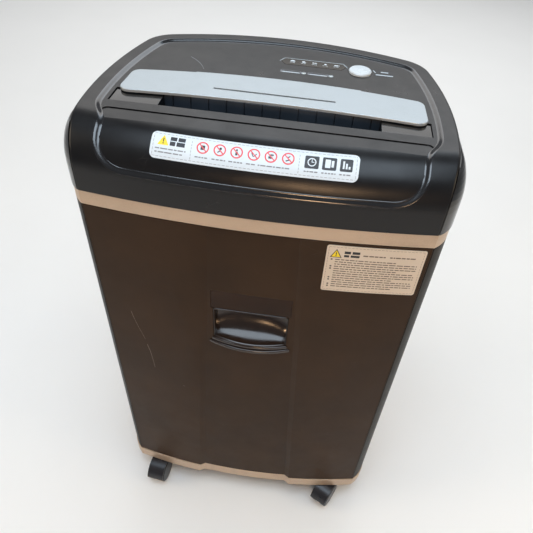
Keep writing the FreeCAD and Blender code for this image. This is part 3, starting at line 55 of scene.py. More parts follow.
class Finish:
    """One procedural material, built node by node in object space."""

    def __init__(self, name, **sockets):
        self.material = bpy.data.materials.new(name + "_finish")
        self.material.use_nodes = True
        self.tree = self.material.node_tree
        self.shader = self.tree.nodes["Principled BSDF"]
        for key, value in sockets.items():
            self.shader.inputs[key.replace("_", " ")].default_value = value
        self.place = self.node("ShaderNodeTexCoord").outputs["Object"]
        self.height = None

    def node(self, kind, **settings):
        made = self.tree.nodes.new(kind)
        for key, value in settings.items():
            setattr(made, key, value)
        return made

    def feed(self, socket, value):
        """Links an output to a socket, or sets the socket's own value."""
        if isinstance(value, bpy.types.NodeSocket):
            self.tree.links.new(value, socket)
        else:
            socket.default_value = value

    def calc(self, operation, first, second=0.0, third=0.0, clamp=False):
        made = self.node("ShaderNodeMath", operation=operation, use_clamp=clamp)
        for socket, value in zip(made.inputs, (first, second, third)):
            self.feed(socket, value)
        return made.outputs[0]

    def stretched(self, x, y, z, turn=0.0):
        """Object coordinates scaled along each axis, after a turn about Z."""
        made = self.node("ShaderNodeMapping")
        self.feed(made.inputs["Vector"], self.place)
        made.inputs["Scale"].default_value = (x, y, z)
        made.inputs["Rotation"].default_value = (0.0, turn * 0.4, turn)
        return made.outputs[0]

    def noise(self, scale, detail=3.0, rough=0.55, warp=0.0, where=None):
        made = self.node("ShaderNodeTexNoise")
        self.feed(made.inputs["Vector"], self.place if where is None else where)
        made.inputs["Scale"].default_value = scale
        made.inputs["Detail"].default_value = detail
        made.inputs["Roughness"].default_value = rough
        made.inputs["Distortion"].default_value = warp
        return made.outputs[0]

    def cells(self, scale, feature="F1", where=None):
        made = self.node("ShaderNodeTexVoronoi", feature=feature)
        self.feed(made.inputs["Vector"], self.place if where is None else where)
        made.inputs["Scale"].default_value = scale
        return made.outputs["Distance"]

    def ramp(self, factor, low, high, low_value=0.0, high_value=1.0):
        """Factor remapped so that low..high becomes low_value..high_value, clamped."""
        made = self.node("ShaderNodeMapRange", clamp=True)
        self.feed(made.inputs["Value"], factor)
        for socket, value in zip(list(made.inputs)[1:5], (low, high, low_value, high_value)):
            socket.default_value = value
        return made.outputs[0]

    def blend(self, factor, first, second):
        made = self.node("ShaderNodeMix", data_type="RGBA")
        self.feed(made.inputs["Factor"], factor)
        colours = [s for s in made.inputs if s.type == "RGBA"]
        self.feed(colours[0], first)
        self.feed(colours[1], second)
        return [s for s in made.outputs if s.type == "RGBA"][0]

    def edges(self, radius):
        """One along outer edges and corners, nought on flat and smooth parts."""
        bent = self.node("ShaderNodeBevel", samples=4)
        bent.inputs["Radius"].default_value = radius
        plain = self.node("ShaderNodeNewGeometry").outputs["Normal"]
        dot = self.node("ShaderNodeVectorMath", operation="DOT_PRODUCT")
        self.feed(dot.inputs[0], bent.outputs[0])
        self.feed(dot.inputs[1], plain)
        return self.ramp(dot.outputs["Value"], 0.995, 0.90)

    def upward(self):
        """One on faces that look up, nought on walls."""
        split = self.node("ShaderNodeSeparateXYZ")
        self.feed(split.inputs[0], self.node("ShaderNodeNewGeometry").outputs["Normal"])
        return self.ramp(split.outputs["Z"], 0.55, 0.95)

    def hairlines(self, scale, stretch, turn, width, share):
        """Sparse fine scratches: edges of long warped cells, kept only in patches."""
        lines = self.cells(scale, "DISTANCE_TO_EDGE", self.stretched(*stretch, turn))
        thin = self.ramp(lines, 0.0, width, 1.0, 0.0)
        patches = self.ramp(self.noise(scale * 0.6, 2.0), 1 - share, 1 - share + 0.06)
        return self.calc("MULTIPLY", thin, patches)

    def colour(self, value):
        self.feed(self.shader.inputs["Base Color"], value)

    def gloss(self, value):
        self.feed(self.shader.inputs["Roughness"], value)

    def relief(self, height, strength, distance):
        """Adds one layer of bump under the ones made before."""
        bump = self.node("ShaderNodeBump")
        bump.inputs["Strength"].default_value = strength
        bump.inputs["Distance"].default_value = distance
        self.feed(bump.inputs["Height"], height)
        if self.height is not None:
            self.feed(bump.inputs["Normal"], self.height)
        self.height = bump.outputs[0]
        self.feed(self.shader.inputs["Normal"], self.height)


def moulded(name, dark, light, rough, grain=2600.0, depth=0.00002, wear=0.0, dust=0.0,
            scratches=0.0, worn=(96, 96, 98), **sockets):
    """Moulded plastic: cloudy colour, spark-eroded grain, edge wear, dust and fine scratches."""
    f = Finish(name, **sockets)
    cloud = f.noise(14.0, 4.0, 0.6)
    colour = f.blend(f.ramp(cloud, 0.3, 0.7), tone(*dark), tone(*light))
    gloss = f.ramp(f.noise(38.0, 4.0, 0.65), 0.25, 0.75, rough - 0.05, rough + 0.06)
    if wear:
        rubbed = f.calc("MULTIPLY", f.edges(0.0009), f.ramp(f.noise(160.0, 4.0), 0.42, 0.62, 0.0, wear))
        colour = f.blend(rubbed, colour, tone(*worn))
    if scratches:
        lines = f.hairlines(34.0, (1.0, 5.0, 2.2), 0.5, 0.006, 0.36)
        lines = f.calc("MULTIPLY", lines, scratches)
        colour = f.blend(lines, colour, tone(150, 148, 144))
    if dust:
        specks = f.ramp(f.cells(420.0), 0.07, 0.03)
        film = f.ramp(f.noise(60.0, 5.0, 0.7), 0.45, 0.75, 0.0, 0.08)
        layer = f.calc("MULTIPLY", f.calc("MAXIMUM", specks, film), f.upward())
        layer = f.calc("MULTIPLY", layer, dust)
        colour = f.blend(layer, colour, tone(150, 148, 142))
        gloss = f.calc("ADD", gloss, f.calc("MULTIPLY", layer, 0.3), clamp=True)
    f.colour(colour)
    f.gloss(gloss)
    f.relief(f.noise(grain, 2.0, 0.6), 0.6, depth)
    return f


def metal(name, dark, light, rough, brushed=(8.0, 900.0, 900.0), **sockets):
    """Drawn or brushed metal: fine lines along X, cloudy tint and small stains."""
    f = Finish(name, Metallic=1.0, **sockets)
    lines = f.noise(1.0, 3.0, 0.6, where=f.stretched(*brushed))
    stain = f.noise(55.0, 5.0, 0.7)
    f.colour(f.blend(f.ramp(f.calc("ADD", lines, f.calc("MULTIPLY", stain, 0.6)), 0.5, 1.1),
                     tone(*dark), tone(*light)))
    f.gloss(f.ramp(f.calc("ADD", lines, stain), 0.7, 1.3, rough - 0.07, rough + 0.09))
    f.relief(lines, 0.35, 0.00002)
    return f


def paint_like_metal(name, dark, light, rough, flake, **sockets):
    """Silver-filled plastic paint: metallic flecks, soft cloud, light rubbing."""
    f = Finish(name, **sockets)
    flecks = f.cells(2600.0)
    cloud = f.noise(20.0, 4.0, 0.6)
    mix = f.calc("ADD", f.calc("MULTIPLY", flecks, flake), cloud)
    colour = f.blend(f.ramp(mix, 0.35, 0.85), tone(*dark), tone(*light))
    rubbed = f.calc("MULTIPLY", f.edges(0.0008), f.ramp(f.noise(140.0, 4.0), 0.45, 0.65, 0.0, 0.5))
    f.colour(f.blend(rubbed, colour, tone(120, 112, 106)))
    f.gloss(f.ramp(cloud, 0.3, 0.7, rough - 0.05, rough + 0.07))
    f.relief(f.noise(1800.0, 2.0, 0.6), 0.35, 0.00002)
    return f


# ---------------------------------------------------------------- finishes of the record's slots

FINISHES = {
    "head_plastic": moulded("head_plastic", (9, 9, 11), (13, 13, 15), 0.31, 2300.0, 0.00003,
                            wear=0.2, dust=0.2, scratches=0.12, Specular_IOR_Level=0.38),
    "gloss_black": moulded("gloss_black", (13, 13, 14), (17, 17, 18), 0.12, 900.0, 0.000006,
                           wear=0.25, dust=0.25, scratches=0.15),
    # rim_gloss: glossier copy of head_plastic for the recess slope; its slightly lighter, bluer colour is
    # painted highlight, the higher gloss is real
    "rim_gloss": moulded("rim_gloss", (12, 13, 16), (17, 18, 21), 0.17, 2300.0, 0.00001,
                         wear=0.2, dust=0.1, Specular_IOR_Level=0.9),
    # grip_black: dark plastic whose brown-red tint is painted warm reflection on the grip's black bowl and
    # lips
    "grip_black": moulded("grip_black", (34, 24, 18), (44, 31, 23), 0.16, 900.0, 0.000006,
                          wear=0.2, dust=0.15, scratches=0.2, Specular_IOR_Level=0.6),
    "trim_silver": paint_like_metal("trim_silver", (170, 146, 124), (196, 172, 148), 0.36, 0.6,
                                    Metallic=0.6),
    "plate_silver": paint_like_metal("plate_silver", (160, 168, 171), (180, 187, 190), 0.36, 0.5,
                                     Metallic=0.4),
    "inner_plastic": moulded("inner_plastic", (22, 22, 24), (28, 28, 30), 0.5, wear=0.2),
    "cabinet_plastic": moulded("cabinet_plastic", (30, 26, 21), (35, 31, 25), 0.4, 2100.0, 0.00003,
                               wear=0.1, dust=0.2, scratches=0.1, Specular_IOR_Level=0.08),
    # panel_plastic: its warm brown is partly the plastic's own dark colour and partly painted reflection of a
    # brown floor, with the specular kept low
    "panel_plastic": moulded("panel_plastic", (48, 34, 21), (58, 41, 25), 0.42, 2100.0, 0.00002,
                             wear=0.2, scratches=0.1, Specular_IOR_Level=0.12),
    "bin_plastic": moulded("bin_plastic", (32, 32, 34), (40, 40, 42), 0.5, wear=0.2, dust=0.3),
    "throat_plastic": moulded("throat_plastic", (40, 47, 55), (52, 60, 70), 0.32, wear=0.3, dust=0.2),
    "rocker_plastic": moulded("rocker_plastic", (16, 16, 17), (22, 22, 23), 0.3, wear=0.3),
    "comb_plastic": moulded("comb_plastic", (38, 38, 40), (50, 50, 52), 0.5, dust=0.6),
    "switch_plastic": moulded("switch_plastic", (25, 25, 27), (36, 36, 38), 0.45),
    "plunger_plastic": moulded("plunger_plastic", (170, 46, 36), (188, 58, 44), 0.4),
    "caster_plastic": moulded("caster_plastic", (26, 26, 31), (34, 34, 39), 0.3, wear=0.3, dust=0.3),
    "wheel_plastic": moulded("wheel_plastic", (20, 21, 25), (28, 29, 34), 0.36, wear=0.4, dust=0.3),
    "gear_nylon": moulded("gear_nylon", (212, 208, 196), (228, 225, 214), 0.4),
    "mount_rubber": moulded("mount_rubber", (18, 18, 18), (27, 27, 27), 0.7, dust=0.3),
    "gland_rubber": moulded("gland_rubber", (20, 20, 21), (28, 28, 29), 0.62, dust=0.3),
    "led_epoxy": moulded("led_epoxy", (206, 214, 210), (228, 234, 230), 0.2),
    "circuit_board": moulded("circuit_board", (30, 74, 46), (40, 92, 58), 0.4),
    "capacitor_shell": moulded("capacitor_shell", (180, 178, 172), (196, 194, 188), 0.45),
    "motor_paint": moulded("motor_paint", (54, 56, 60), (66, 68, 72), 0.4),
    "button_white": moulded("button_white", (196, 204, 208), (212, 219, 222), 0.26, wear=0.15,
                            worn=(150, 152, 154)),
    "lens_plastic": moulded("lens_plastic", (24, 19, 12), (38, 30, 18), 0.14, 700.0, 0.000004,
                            dust=0.1, Specular_IOR_Level=0.22),
    "label_paper": moulded("label_paper", (226, 229, 230), (238, 240, 241), 0.38, 500.0, 0.00001),
    "cutter_steel": metal("cutter_steel", (126, 128, 132), (170, 172, 176), 0.34),
    "plate_steel": metal("plate_steel", (150, 152, 156), (182, 184, 188), 0.38),
    "zinc_steel": metal("zinc_steel", (164, 166, 168), (200, 202, 206), 0.3),
    "bearing_steel": metal("bearing_steel", (170, 172, 176), (206, 208, 212), 0.22),
    "gear_steel": metal("gear_steel", (118, 120, 124), (158, 160, 164), 0.36),
}


def smoked_window():
    """Tinted clear plastic: brown glass with faint flow marks."""
    f = Finish("smoked_window", IOR=1.49, Transmission_Weight=0.3, Specular_IOR_Level=0.04)
    f.colour(f.blend(f.ramp(f.noise(24.0, 3.0), 0.3, 0.7), tone(44, 27, 14), tone(58, 36, 19)))
    f.gloss(f.ramp(f.noise(90.0, 4.0), 0.3, 0.7, 0.10, 0.22))
    f.relief(f.noise(60.0, 2.0), 0.2, 0.0001)
    return f


FINISHES["smoked_window"] = smoked_window()
INKS = {
    "white": moulded("print_white", (206, 216, 222), (218, 226, 231), 0.34, 500.0, 0.00001),
    "cream": moulded("print_cream", (206, 190, 170), (216, 201, 182), 0.4, 500.0, 0.00001),
    "grey": moulded("print_grey", (120, 122, 126), (134, 136, 140), 0.45, 500.0, 0.000008),
    "brown": moulded("print_brown", (104, 90, 78), (118, 103, 90), 0.45, 500.0, 0.000008),
    "black": moulded("print_black", (20, 20, 24), (28, 28, 32), 0.4, 500.0, 0.000008),
    "red": moulded("print_red", (214, 70, 74), (226, 86, 88), 0.4, 500.0, 0.000008),
    "yellow": moulded("print_yellow", (238, 208, 20), (246, 218, 40), 0.4, 500.0, 0.000008),
    "pale": moulded("print_pale", (188, 200, 206), (204, 214, 220), 0.35, 500.0, 0.000008),
}


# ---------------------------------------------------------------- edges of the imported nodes


def welded_group(limit):
    """Geometry nodes that join a node's faces and smooth all but its sharp edges."""
    group = bpy.data.node_groups.new("welded", "GeometryNodeTree")
    group.interface.new_socket("Geometry", in_out="INPUT", socket_type="NodeSocketGeometry")
    group.interface.new_socket("Geometry", in_out="OUTPUT", socket_type="NodeSocketGeometry")
    make, link = group.nodes.new, group.links.new
    start, end = make("NodeGroupInput"), make("NodeGroupOutput")
    drop = make("GeometryNodeRemoveAttribute")
    drop.inputs["Name"].default_value = "custom_normal"
    merge = make("GeometryNodeMergeByDistance")
    merge.inputs["Distance"].default_value = 0.00001
    smooth = make("GeometryNodeSetShadeSmooth")
    crease = make("GeometryNodeSetShadeSmooth")
    crease.domain = "EDGE"
    crease.inputs["Shade Smooth"].default_value = False
    angle = make("GeometryNodeInputMeshEdgeAngle")
    over = make("FunctionNodeCompare")
    over.operation = "GREATER_THAN"
    over.inputs[1].default_value = limit
    link(start.outputs[0], drop.inputs["Geometry"])
    link(drop.outputs[0], merge.inputs["Geometry"])
    link(merge.outputs[0], smooth.inputs["Geometry"])
    link(smooth.outputs[0], crease.inputs["Geometry"])
    link(angle.outputs["Unsigned Angle"], over.inputs[0])
    link(over.outputs[0], crease.inputs["Selection"])
    link(crease.outputs[0], end.inputs[0])
    return group


WELDED = welded_group(math.radians(28))


def soften(node, width, segments=3, angle=30.0):
    """Rounds a CAD node's edges with modifiers; its own mesh stays as packed."""
    obj = NODES[node]
    obj.modifiers.new("welded", "NODES").node_group = WELDED
    bevel = obj.modifiers.new("edges", "BEVEL")
    bevel.width = width * MM
    bevel.segments = segments
    bevel.limit_method = "ANGLE"
    bevel.angle_limit = math.radians(angle)
    bevel.use_clamp_overlap = False
    bevel.harden_normals = True
    bevel.miter_outer = "MITER_ARC"


for obj in NODES.values():
    for material_slot in obj.material_slots:
        finish = FINISHES[material_slot.material.name].material
        material_slot.link = "OBJECT"
        material_slot.material = finish

for node, width in (
    ("trim_band", 0.4),
    ("cabinet_shell", 0.6),
    ("base_trim", 0.6),
    ("bin_front_panel", 0.5),
    ("throat_end_left", 0.5),
    ("throat_end_right", 0.5),
):
    soften(node, width)

# ---------------------------------------------------------------- surfaces the added pieces follow

FACE_HALF = 173.7
CREASE_Y = -119.0
TOP_BOW = 11.4
LOW_BOW = 18.0
BOW_TOP_Z = 563.3
BOW_LOW_Z = 64.5
FACE_Y = CREASE_Y - TOP_BOW
FACE_RADIUS = (FACE_HALF**2 + TOP_BOW**2) / (2 * TOP_BOW)
AXIS_Y = FACE_Y + FACE_RADIUS
ROLL = 42.0
ROLL_Z = 604.0
TOP_Z = 646.0
RECESS = 2.4
FLOOR_Z = TOP_Z - RECESS
LENS_X = 33.0
LENS_Y = 81.0


def roll_point(x, angle, depth):
    """A point under the head's rolled front: angle nought on the upright face, a quarter turn on top."""
    reach = ROLL - depth
    radial = FACE_RADIUS - ROLL + reach * math.cos(angle)
    return Vector((x, AXIS_Y - math.sqrt(radial**2 - x**2), ROLL_Z + reach * math.sin(angle)))


def roll_normal(x, angle):
    """The outward direction at a point of the rolled front."""
    point = roll_point(x, 0.0, 0.0)
    out = Vector((point.x, point.y - AXIS_Y, 0.0)).normalized()
    return out * math.cos(angle) + Vector((0.0, 0.0, math.sin(angle)))


def drawer_y(x, z, depth):
    """The drawer front, which bows further forward towards the base."""
    bow = TOP_BOW + (BOW_TOP_Z - z) / (BOW_TOP_Z - BOW_LOW_Z) * (LOW_BOW - TOP_BOW)
    radius = (FACE_HALF**2 + bow**2) / (2 * bow)
    return CREASE_Y - bow + radius - math.sqrt((radius - depth) ** 2 - x**2)


def add_piece(name, points, faces, finishes, indices=None, body="cabinet"):
    """A mesh object in metres from points in millimetres."""
    mesh = bpy.data.meshes.new(name)
    mesh.from_pydata([Vector(p) * MM for p in points], [], faces)
    for finish in finishes:
        mesh.materials.append(finish.material)
    if indices:
        mesh.polygons.foreach_set("material_index", indices)
    mesh.polygons.foreach_set("use_smooth", [True] * len(faces))
    mesh.update()
    obj = bpy.data.objects.new(name, mesh)
    bpy.context.scene.collection.objects.link(obj)
    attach(obj, body)
    return obj


def recalc(obj):
    """Turns every face outwards."""
    b = bmesh.new()
    b.from_mesh(obj.data)
    bmesh.ops.recalc_face_normals(b, faces=b.faces)
    b.to_mesh(obj.data)
    b.free()
    return obj


def sharpen(obj, angle):
    """Keeps edges above an angle sharp and the rest smooth."""
    obj.data.set_sharp_from_angle(angle=math.radians(angle))
    return obj


# ---------------------------------------------------------------- printed labels and marks


def rounded(left, low, right, high, radius, steps=5):
    """Corner-rounded rectangle, anticlockwise."""
    ring = []
    corners = ((right - radius, low + radius, -90), (right - radius, high - radius, 0),
               (left + radius, high - radius, 90), (left + radius, low + radius, 180))
    for x, y, start in corners:
        for i in range(steps + 1):
            turn = math.radians(start + 90 * i / steps)
            ring.append((x + radius * math.cos(turn), y + radius * math.sin(turn)))
    return ring


def strip(left, low, right, high):
    return [(left, low), (right, low), (right, high), (left, high)]


def slanted(x0, y0, x1, y1, width):
    """A straight bar between two points."""
    along = Vector((x1 - x0, y1 - y0)).normalized() * width / 2
    side = Vector((-along.y, along.x))
    return [
        (x0 - side.x, y0 - side.y),
        (x1 - side.x, y1 - side.y),
        (x1 + side.x, y1 + side.y),
        (x0 + side.x, y0 + side.y),
    ]


def hoop(x, y, outer, inner, steps=36):
    """A ring as a run of quads."""
    quads = []
    for i in range(steps):
        turns = [2 * math.pi * k / steps for k in (i, i + 1)]
        far = [(x + outer * math.cos(t), y + outer * math.sin(t)) for t in turns]
        near = [(x + inner * math.cos(t), y + inner * math.sin(t)) for t in turns]
        quads.append([near[0], far[0], far[1], near[1]])
    return quads


def dot(x, y, radius, steps=20):
    return [(x + radius * math.cos(2 * math.pi * i / steps), y + radius * math.sin(2 * math.pi * i / steps))
            for i in range(steps)]


def dashes(left, low, right, high, dash, gap, width):
    """A dashed rectangle."""
    bars = []
    x = left
    while x < right:
        end = min(x + dash, right)
        bars += [strip(x, low, end, low + width), strip(x, high - width, end, high)]
        x += dash + gap
    y = low + gap
    while y < high - gap:
        end = min(y + dash, high - gap)
        bars += [strip(left, y, left + width, end), strip(right - width, y, right, end)]
        y += dash + gap
    return bars


def words(dice, left, right, middle, height, longest=7.0):
    """A line of word-like bars."""
    bars = []
    x = left
    while x < right - 1.0:
        end = min(x + dice.uniform(1.6, longest), right)
        bars.append(strip(x, middle - height / 2, end, middle + height / 2))
        x = end + dice.uniform(0.6, 1.1)
    return bars


def printed(name, layers, surface, body, longest=2.6):
    """Thin solids of ink laid on a surface; layers are (ink, low, high, polygons)."""
    points, faces, indices, inks = [], [], [], []
    for ink, low, high, polygons in layers:
        if ink not in inks:
            inks.append(ink)
        sheet = bmesh.new()
        for ring in polygons:
            sheet.faces.new([sheet.verts.new((x, y, 0.0)) for x, y in ring])
        bmesh.ops.remove_doubles(sheet, verts=sheet.verts, dist=0.0001)
        bmesh.ops.triangulate(sheet, faces=sheet.faces)
        for _ in range(7):
            long = [e for e in sheet.edges if e.calc_length() > longest]
            if not long:
                break
            bmesh.ops.subdivide_edges(sheet, edges=long, cuts=1)
            bmesh.ops.triangulate(sheet, faces=sheet.faces)
        sheet.verts.index_update()
        sheet.verts.ensure_lookup_table()
        count = len(sheet.verts)
        start = len(points)
        flat = [(v.co.x, v.co.y) for v in sheet.verts]
        points += [surface(x, y, low) for x, y in flat] + [surface(x, y, high) for x, y in flat]
        for face in sheet.faces:
            ring = [v.index for v in face.verts]
            if face.normal.z < 0:
                ring.reverse()
            faces.append([start + count + i for i in ring])
            faces.append([start + i for i in reversed(ring)])
            indices += [inks.index(ink)] * 2
            for a, b in zip(ring, ring[1:] + ring[:1]):
                edge = sheet.edges.get((sheet.verts[a], sheet.verts[b]))
                if len(edge.link_faces) == 1:
                    faces.append([start + a, start + b, start + count + b, start + count + a])
                    indices.append(inks.index(ink))
        sheet.free()
    obj = add_piece(name, points, faces, [INKS[ink] for ink in inks], indices, body)
    sharpen(obj, 40)
    return obj


LABEL_LEFT = -98.3
LABEL_LOW_Z = 626.3


def roll_label(x, y, height):
    """Front label: x along the roll from the label's left edge, y up the roll's arc."""
    start = math.asin((LABEL_LOW_Z - ROLL_Z) / (ROLL - RECESS))
    return roll_point(x + LABEL_LEFT, start + y / (ROLL - RECESS), RECESS - height)


def front_label_art():
    dice = random.Random(11)
    wide, tall = 187.5, 25.6
    triangle = [(6.2, 12.6), (16.6, 12.6), (11.4, 22.4)]
    grey, black, red, white = [], [], [], []
    grey += dashes(2.2, 2.0, wide - 2.2, tall - 2.0, 2.6, 1.2, 0.32)
    for x in (37.5, 134.5):
        y = 3.4
        while y < tall - 4.5:
            grey.append(strip(x - 0.2, y, x + 0.2, y + 2.0))
            y += 3.0
    black += [strip(17.6, 17.6, 23.6, 21.4), strip(24.8, 17.6, 31.4, 21.4)]
    black += [strip(17.6, 12.8, 22.6, 16.8), strip(23.8, 12.8, 31.4, 16.8)]
    grey += words(dice, 4.6, 33.0, 9.2, 1.1) + words(dice, 4.6, 31.0, 5.9, 1.1)
    for i, x in enumerate((47.8, 63.2, 78.4, 93.9, 109.1, 124.5)):
        y = 15.4
        red += hoop(x, y, 5.7, 4.4)
        red.append(slanted(x - 3.4, y + 3.4, x + 3.4, y - 3.4, 1.1))
        black += pictogram(i, x, y)
        if i < 3:
            grey += words(dice, x - 6.2, x + 6.2, 6.4, 1.1, 4.0)
    grey += words(dice, 88.0, 96.0, 6.4, 1.1, 4.0) + words(dice, 98.5, 126.5, 6.4, 1.1, 5.0)
    for x, half in ((145.6, 6.3), (161.2, 6.3), (176.2, 5.6)):
        black.append(rounded(x - half, 8.6, x + half, 20.4, 1.2))
        grey += words(dice, x - half, x + half, 5.8, 1.1, 4.0)
    white += hoop(145.6, 14.5, 3.9, 3.0) + [strip(145.3, 14.2, 145.9, 17.2), strip(145.3, 14.2, 147.8, 14.8)]
    white += [rounded(157.4, 10.6, 162.2, 18.4, 0.4, 2), rounded(163.0, 11.4, 165.2, 17.6, 0.4, 2)]
    for left, high in ((173.0, 18.2), (175.6, 16.0), (178.2, 13.4)):
        white.append(strip(left, 11.0, left + 1.6, high))
    piece = printed(
        "front_label_print",
        [
            ("white", 0.0, 0.34, [rounded(0.0, 0.0, wide, tall, 5.0, 8)]),
            ("grey", 0.32, 0.37, grey),
            ("black", 0.32, 0.37, black),
            ("red", 0.325, 0.39, red),
            ("yellow", 0.32, 0.37, [triangle]),
            ("white", 0.36, 0.41, white),
            ("black", 0.36, 0.41, [slanted(11.4, 19.4, 11.4, 15.6, 0.9), dot(11.4, 14.3, 0.6, 10)]),
        ],
        roll_label, "cabinet",
    )
    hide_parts("front_label")


def pictogram(kind, x, y):
    """Small plain shapes inside the six rings."""
    shapes = (
        [rounded(x - 2.0, y - 2.2, x + 2.0, y + 2.2, 0.5, 2)],
        [dot(x + 0.6, y + 1.4, 1.2, 12), slanted(x - 1.8, y - 2.4, x + 1.0, y - 0.2, 1.0)],
        [dot(x, y + 2.2, 0.9, 12), strip(x - 1.0, y - 2.8, x + 1.0, y + 0.8)],
        [slanted(x - 2.2, y + 1.6, x - 0.6, y - 2.0, 0.8), slanted(x - 0.2, y - 2.0, x + 2.4, y + 0.8, 0.8)],
        [strip(x - 2.2, y - 2.0, x + 1.4, y + 0.2), strip(x - 0.8, y + 0.8, x + 2.2, y + 2.2)],
        [slanted(x - 2.0, y - 2.4, x + 2.0, y - 1.0, 1.1), slanted(x - 1.2, y + 0.6, x + 1.6, y + 2.2, 0.9)],
    )
    return shapes[kind]


def drawer_label(x, y, height):
    across, up = 72.0 + x, 498.0 + y
    return Vector((across, drawer_y(across, up, 1.0 - height), up))


def panel_label_art():
    dice = random.Random(23)
    wide, tall = 96.5, 61.5
    dark = [strip(17.5, 51.6, 23.6, 54.8), strip(25.2, 51.6, 32.6, 54.8)]
    dark += [strip(17.5, 47.4, 22.4, 50.2), strip(24.0, 47.4, 32.6, 50.2)]
    brown = dashes(2.0, 2.0, wide - 2.0, tall - 2.0, 2.4, 1.2, 0.3)
    brown += words(dice, 36.0, 58.0, 50.6, 1.6, 5.0) + words(dice, 62.0, 88.0, 50.6, 1.6, 6.0)
    for i in range(13):
        y = 43.6 - i * 3.05
        end = wide - (6.0 if i % 4 else 18.0 + dice.uniform(0.0, 14.0))
        brown += words(dice, 9.5, end, y, 1.25, 6.5)
        if i in (0, 3, 4, 8, 9, 11, 12):
            dark.append(strip(5.2, y - 0.8, 7.0, y + 0.8))
    piece = printed(
        "panel_label_print",
        [
            ("cream", 0.0, 0.34, [rounded(0.0, 0.0, wide, tall, 2.6, 6)]),
            ("brown", 0.32, 0.37, brown),
            ("black", 0.32, 0.37, dark + [[(3.9, 46.2), (15.5, 46.2), (9.7, 57.0)]]),
            ("yellow", 0.36, 0.40, [[(5.2, 47.0), (14.2, 47.0), (9.7, 55.4)]]),
            ("black", 0.39, 0.43, [slanted(9.7, 53.0, 9.7, 49.8, 0.9), dot(9.7, 48.4, 0.6, 10)]),
        ],
        drawer_label, "bin", 4.0,
    )
    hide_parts("panel_label")


def top_marks():
    """White pictograms on the lens, the two legend bars with their frames, and the button's legend box."""
    def on_lens(x, y, height):
        return Vector((x, y, FLOOR_Z + 0.2 + height))

    def on_top(x, y, height):
        return Vector((x, y, FLOOR_Z + height))

    pale = []
    for i in range(5):
        x, y = 9.0 + 12.4 * i, LENS_Y + 1.4
        pale += (
            [rounded(x - 2.6, y - 0.2, x + 2.6, y + 2.4, 0.5, 2), strip(x - 1.4, y + 2.9, x + 1.4, y + 3.5)],
            [dot(x, y + 1.2, 1.9, 14), strip(x + 1.2, y - 0.6, x + 2.8, y + 0.4)],
            [
                strip(x - 2.6, y + 0.0, x + 2.6, y + 1.0),
                strip(x - 2.6, y + 1.6, x - 0.4, y + 2.6),
                strip(x + 0.4, y + 1.6, x + 2.6, y + 2.6),
            ],
            [dot(x, y + 1.2, 1.5, 14)],
            [rounded(x - 2.2, y - 0.2, x + 2.2, y + 2.2, 0.4, 2), strip(x + 2.8, y - 0.2, x + 3.4, y + 2.6)],
        )[i]
        pale += [strip(x - 3.0, y - 3.2, x - 0.6, y - 2.5), strip(x + 0.0, y - 3.2, x + 2.8, y - 2.5)]
    lens = printed("lens_marks", [("white", 0.0, 0.05, pale)], on_lens, "cabinet")
    outline = []
    ring = [
        (LENS_X - 38.6, LENS_Y),
        (LENS_X - 33.4, LENS_Y + 9.2),
        (LENS_X + 33.4, LENS_Y + 9.2),
        (LENS_X + 38.6, LENS_Y),
    ]
    for (x0, y0), (x1, y1) in zip(ring, ring[1:]):
        outline.append(slanted(x0, y0, x1, y1, 0.7))
    bars, dark, rims = [], [], []
    for x in (24.0, 54.0):
        rims.append(rounded(x - 25.6, 52.0, x - 3.4, 58.2, 1.2, 3))
        dark.append(rounded(x - 25.0, 54.9, x - 4.0, 57.7, 0.8, 3))
        bars.append(strip(x - 23.4, 52.8, x - 4.6, 54.2))
        bars += hoop(x, 54.6, 2.6, 1.9, 20)
    dark += [rounded(103.6, 76.6, 124.6, 82.6, 0.8, 3), rounded(101.6, 69.2, 124.6, 74.6, 0.8, 3)]
    bars += [strip(109.0, 78.8, 117.4, 80.8), strip(103.4, 71.0, 122.6, 73.0)]
    bars.append(slanted(100.6, 82.4, 103.0, 77.2, 1.2))
    legend = printed(
        "legend_marks",
        [("grey", 0.0, 0.04, rims), ("black", 0.03, 0.07, dark), ("pale", 0.06, 0.10, bars + outline)],
        on_top, "cabinet",
    )
    return lens, legend


def scuffs():
    """The long scratches that show on the drawer front and on top of the head."""
    def on_drawer(x, z, height):
        return Vector((x, drawer_y(x, z, 1.0 - height), z))

    def on_head(x, y, height):
        return Vector((x, y, FLOOR_Z + height))

    def run(spots, width):
        pairs = list(zip(spots, spots[1:]))
        return [slanted(*a, *b, width * (1.0 - 0.5 * i / len(pairs))) for i, (a, b) in enumerate(pairs)]

    long = [(-142.0, 414.0), (-139.8, 402.0), (-137.0, 390.0), (-133.0, 377.0), (-130.0, 366.0)]
    low = [(-128.4, 356.0), (-126.0, 344.0), (-124.2, 326.0), (-123.0, 310.0)]
    curved = [(-104.0, 64.0), (-97.0, 58.0), (-91.0, 51.0), (-86.5, 44.0), (-83.0, 36.0)]
    marks = run(long, 0.55) + run(low, 0.7)
    marks += [slanted(166.0, 421.0, 169.0, 418.4, 0.6), slanted(-86.0, 283.0, -85.0, 281.6, 0.8)]
    printed("drawer_scuffs", [("brown", 0.0, 0.03, marks)], on_drawer, "bin")
    printed("head_scuffs", [("grey", 0.0, 0.03, run(curved, 0.6))], on_head, "cabinet")


# ---------------------------------------------------------------- the slope round the head's recess


def circle_meeting(first, first_radius, second, second_radius):
    """Both points at the given distances from two centres in plan."""
    span = second - first
    along = (first_radius**2 - second_radius**2 + span.length_squared) / (2 * span.length)
    off = math.sqrt(first_radius**2 - along**2)
    unit = span.normalized()
    side = Vector((-unit.y, unit.x))
    return first + unit * along + side * off, first + unit * along - side * off


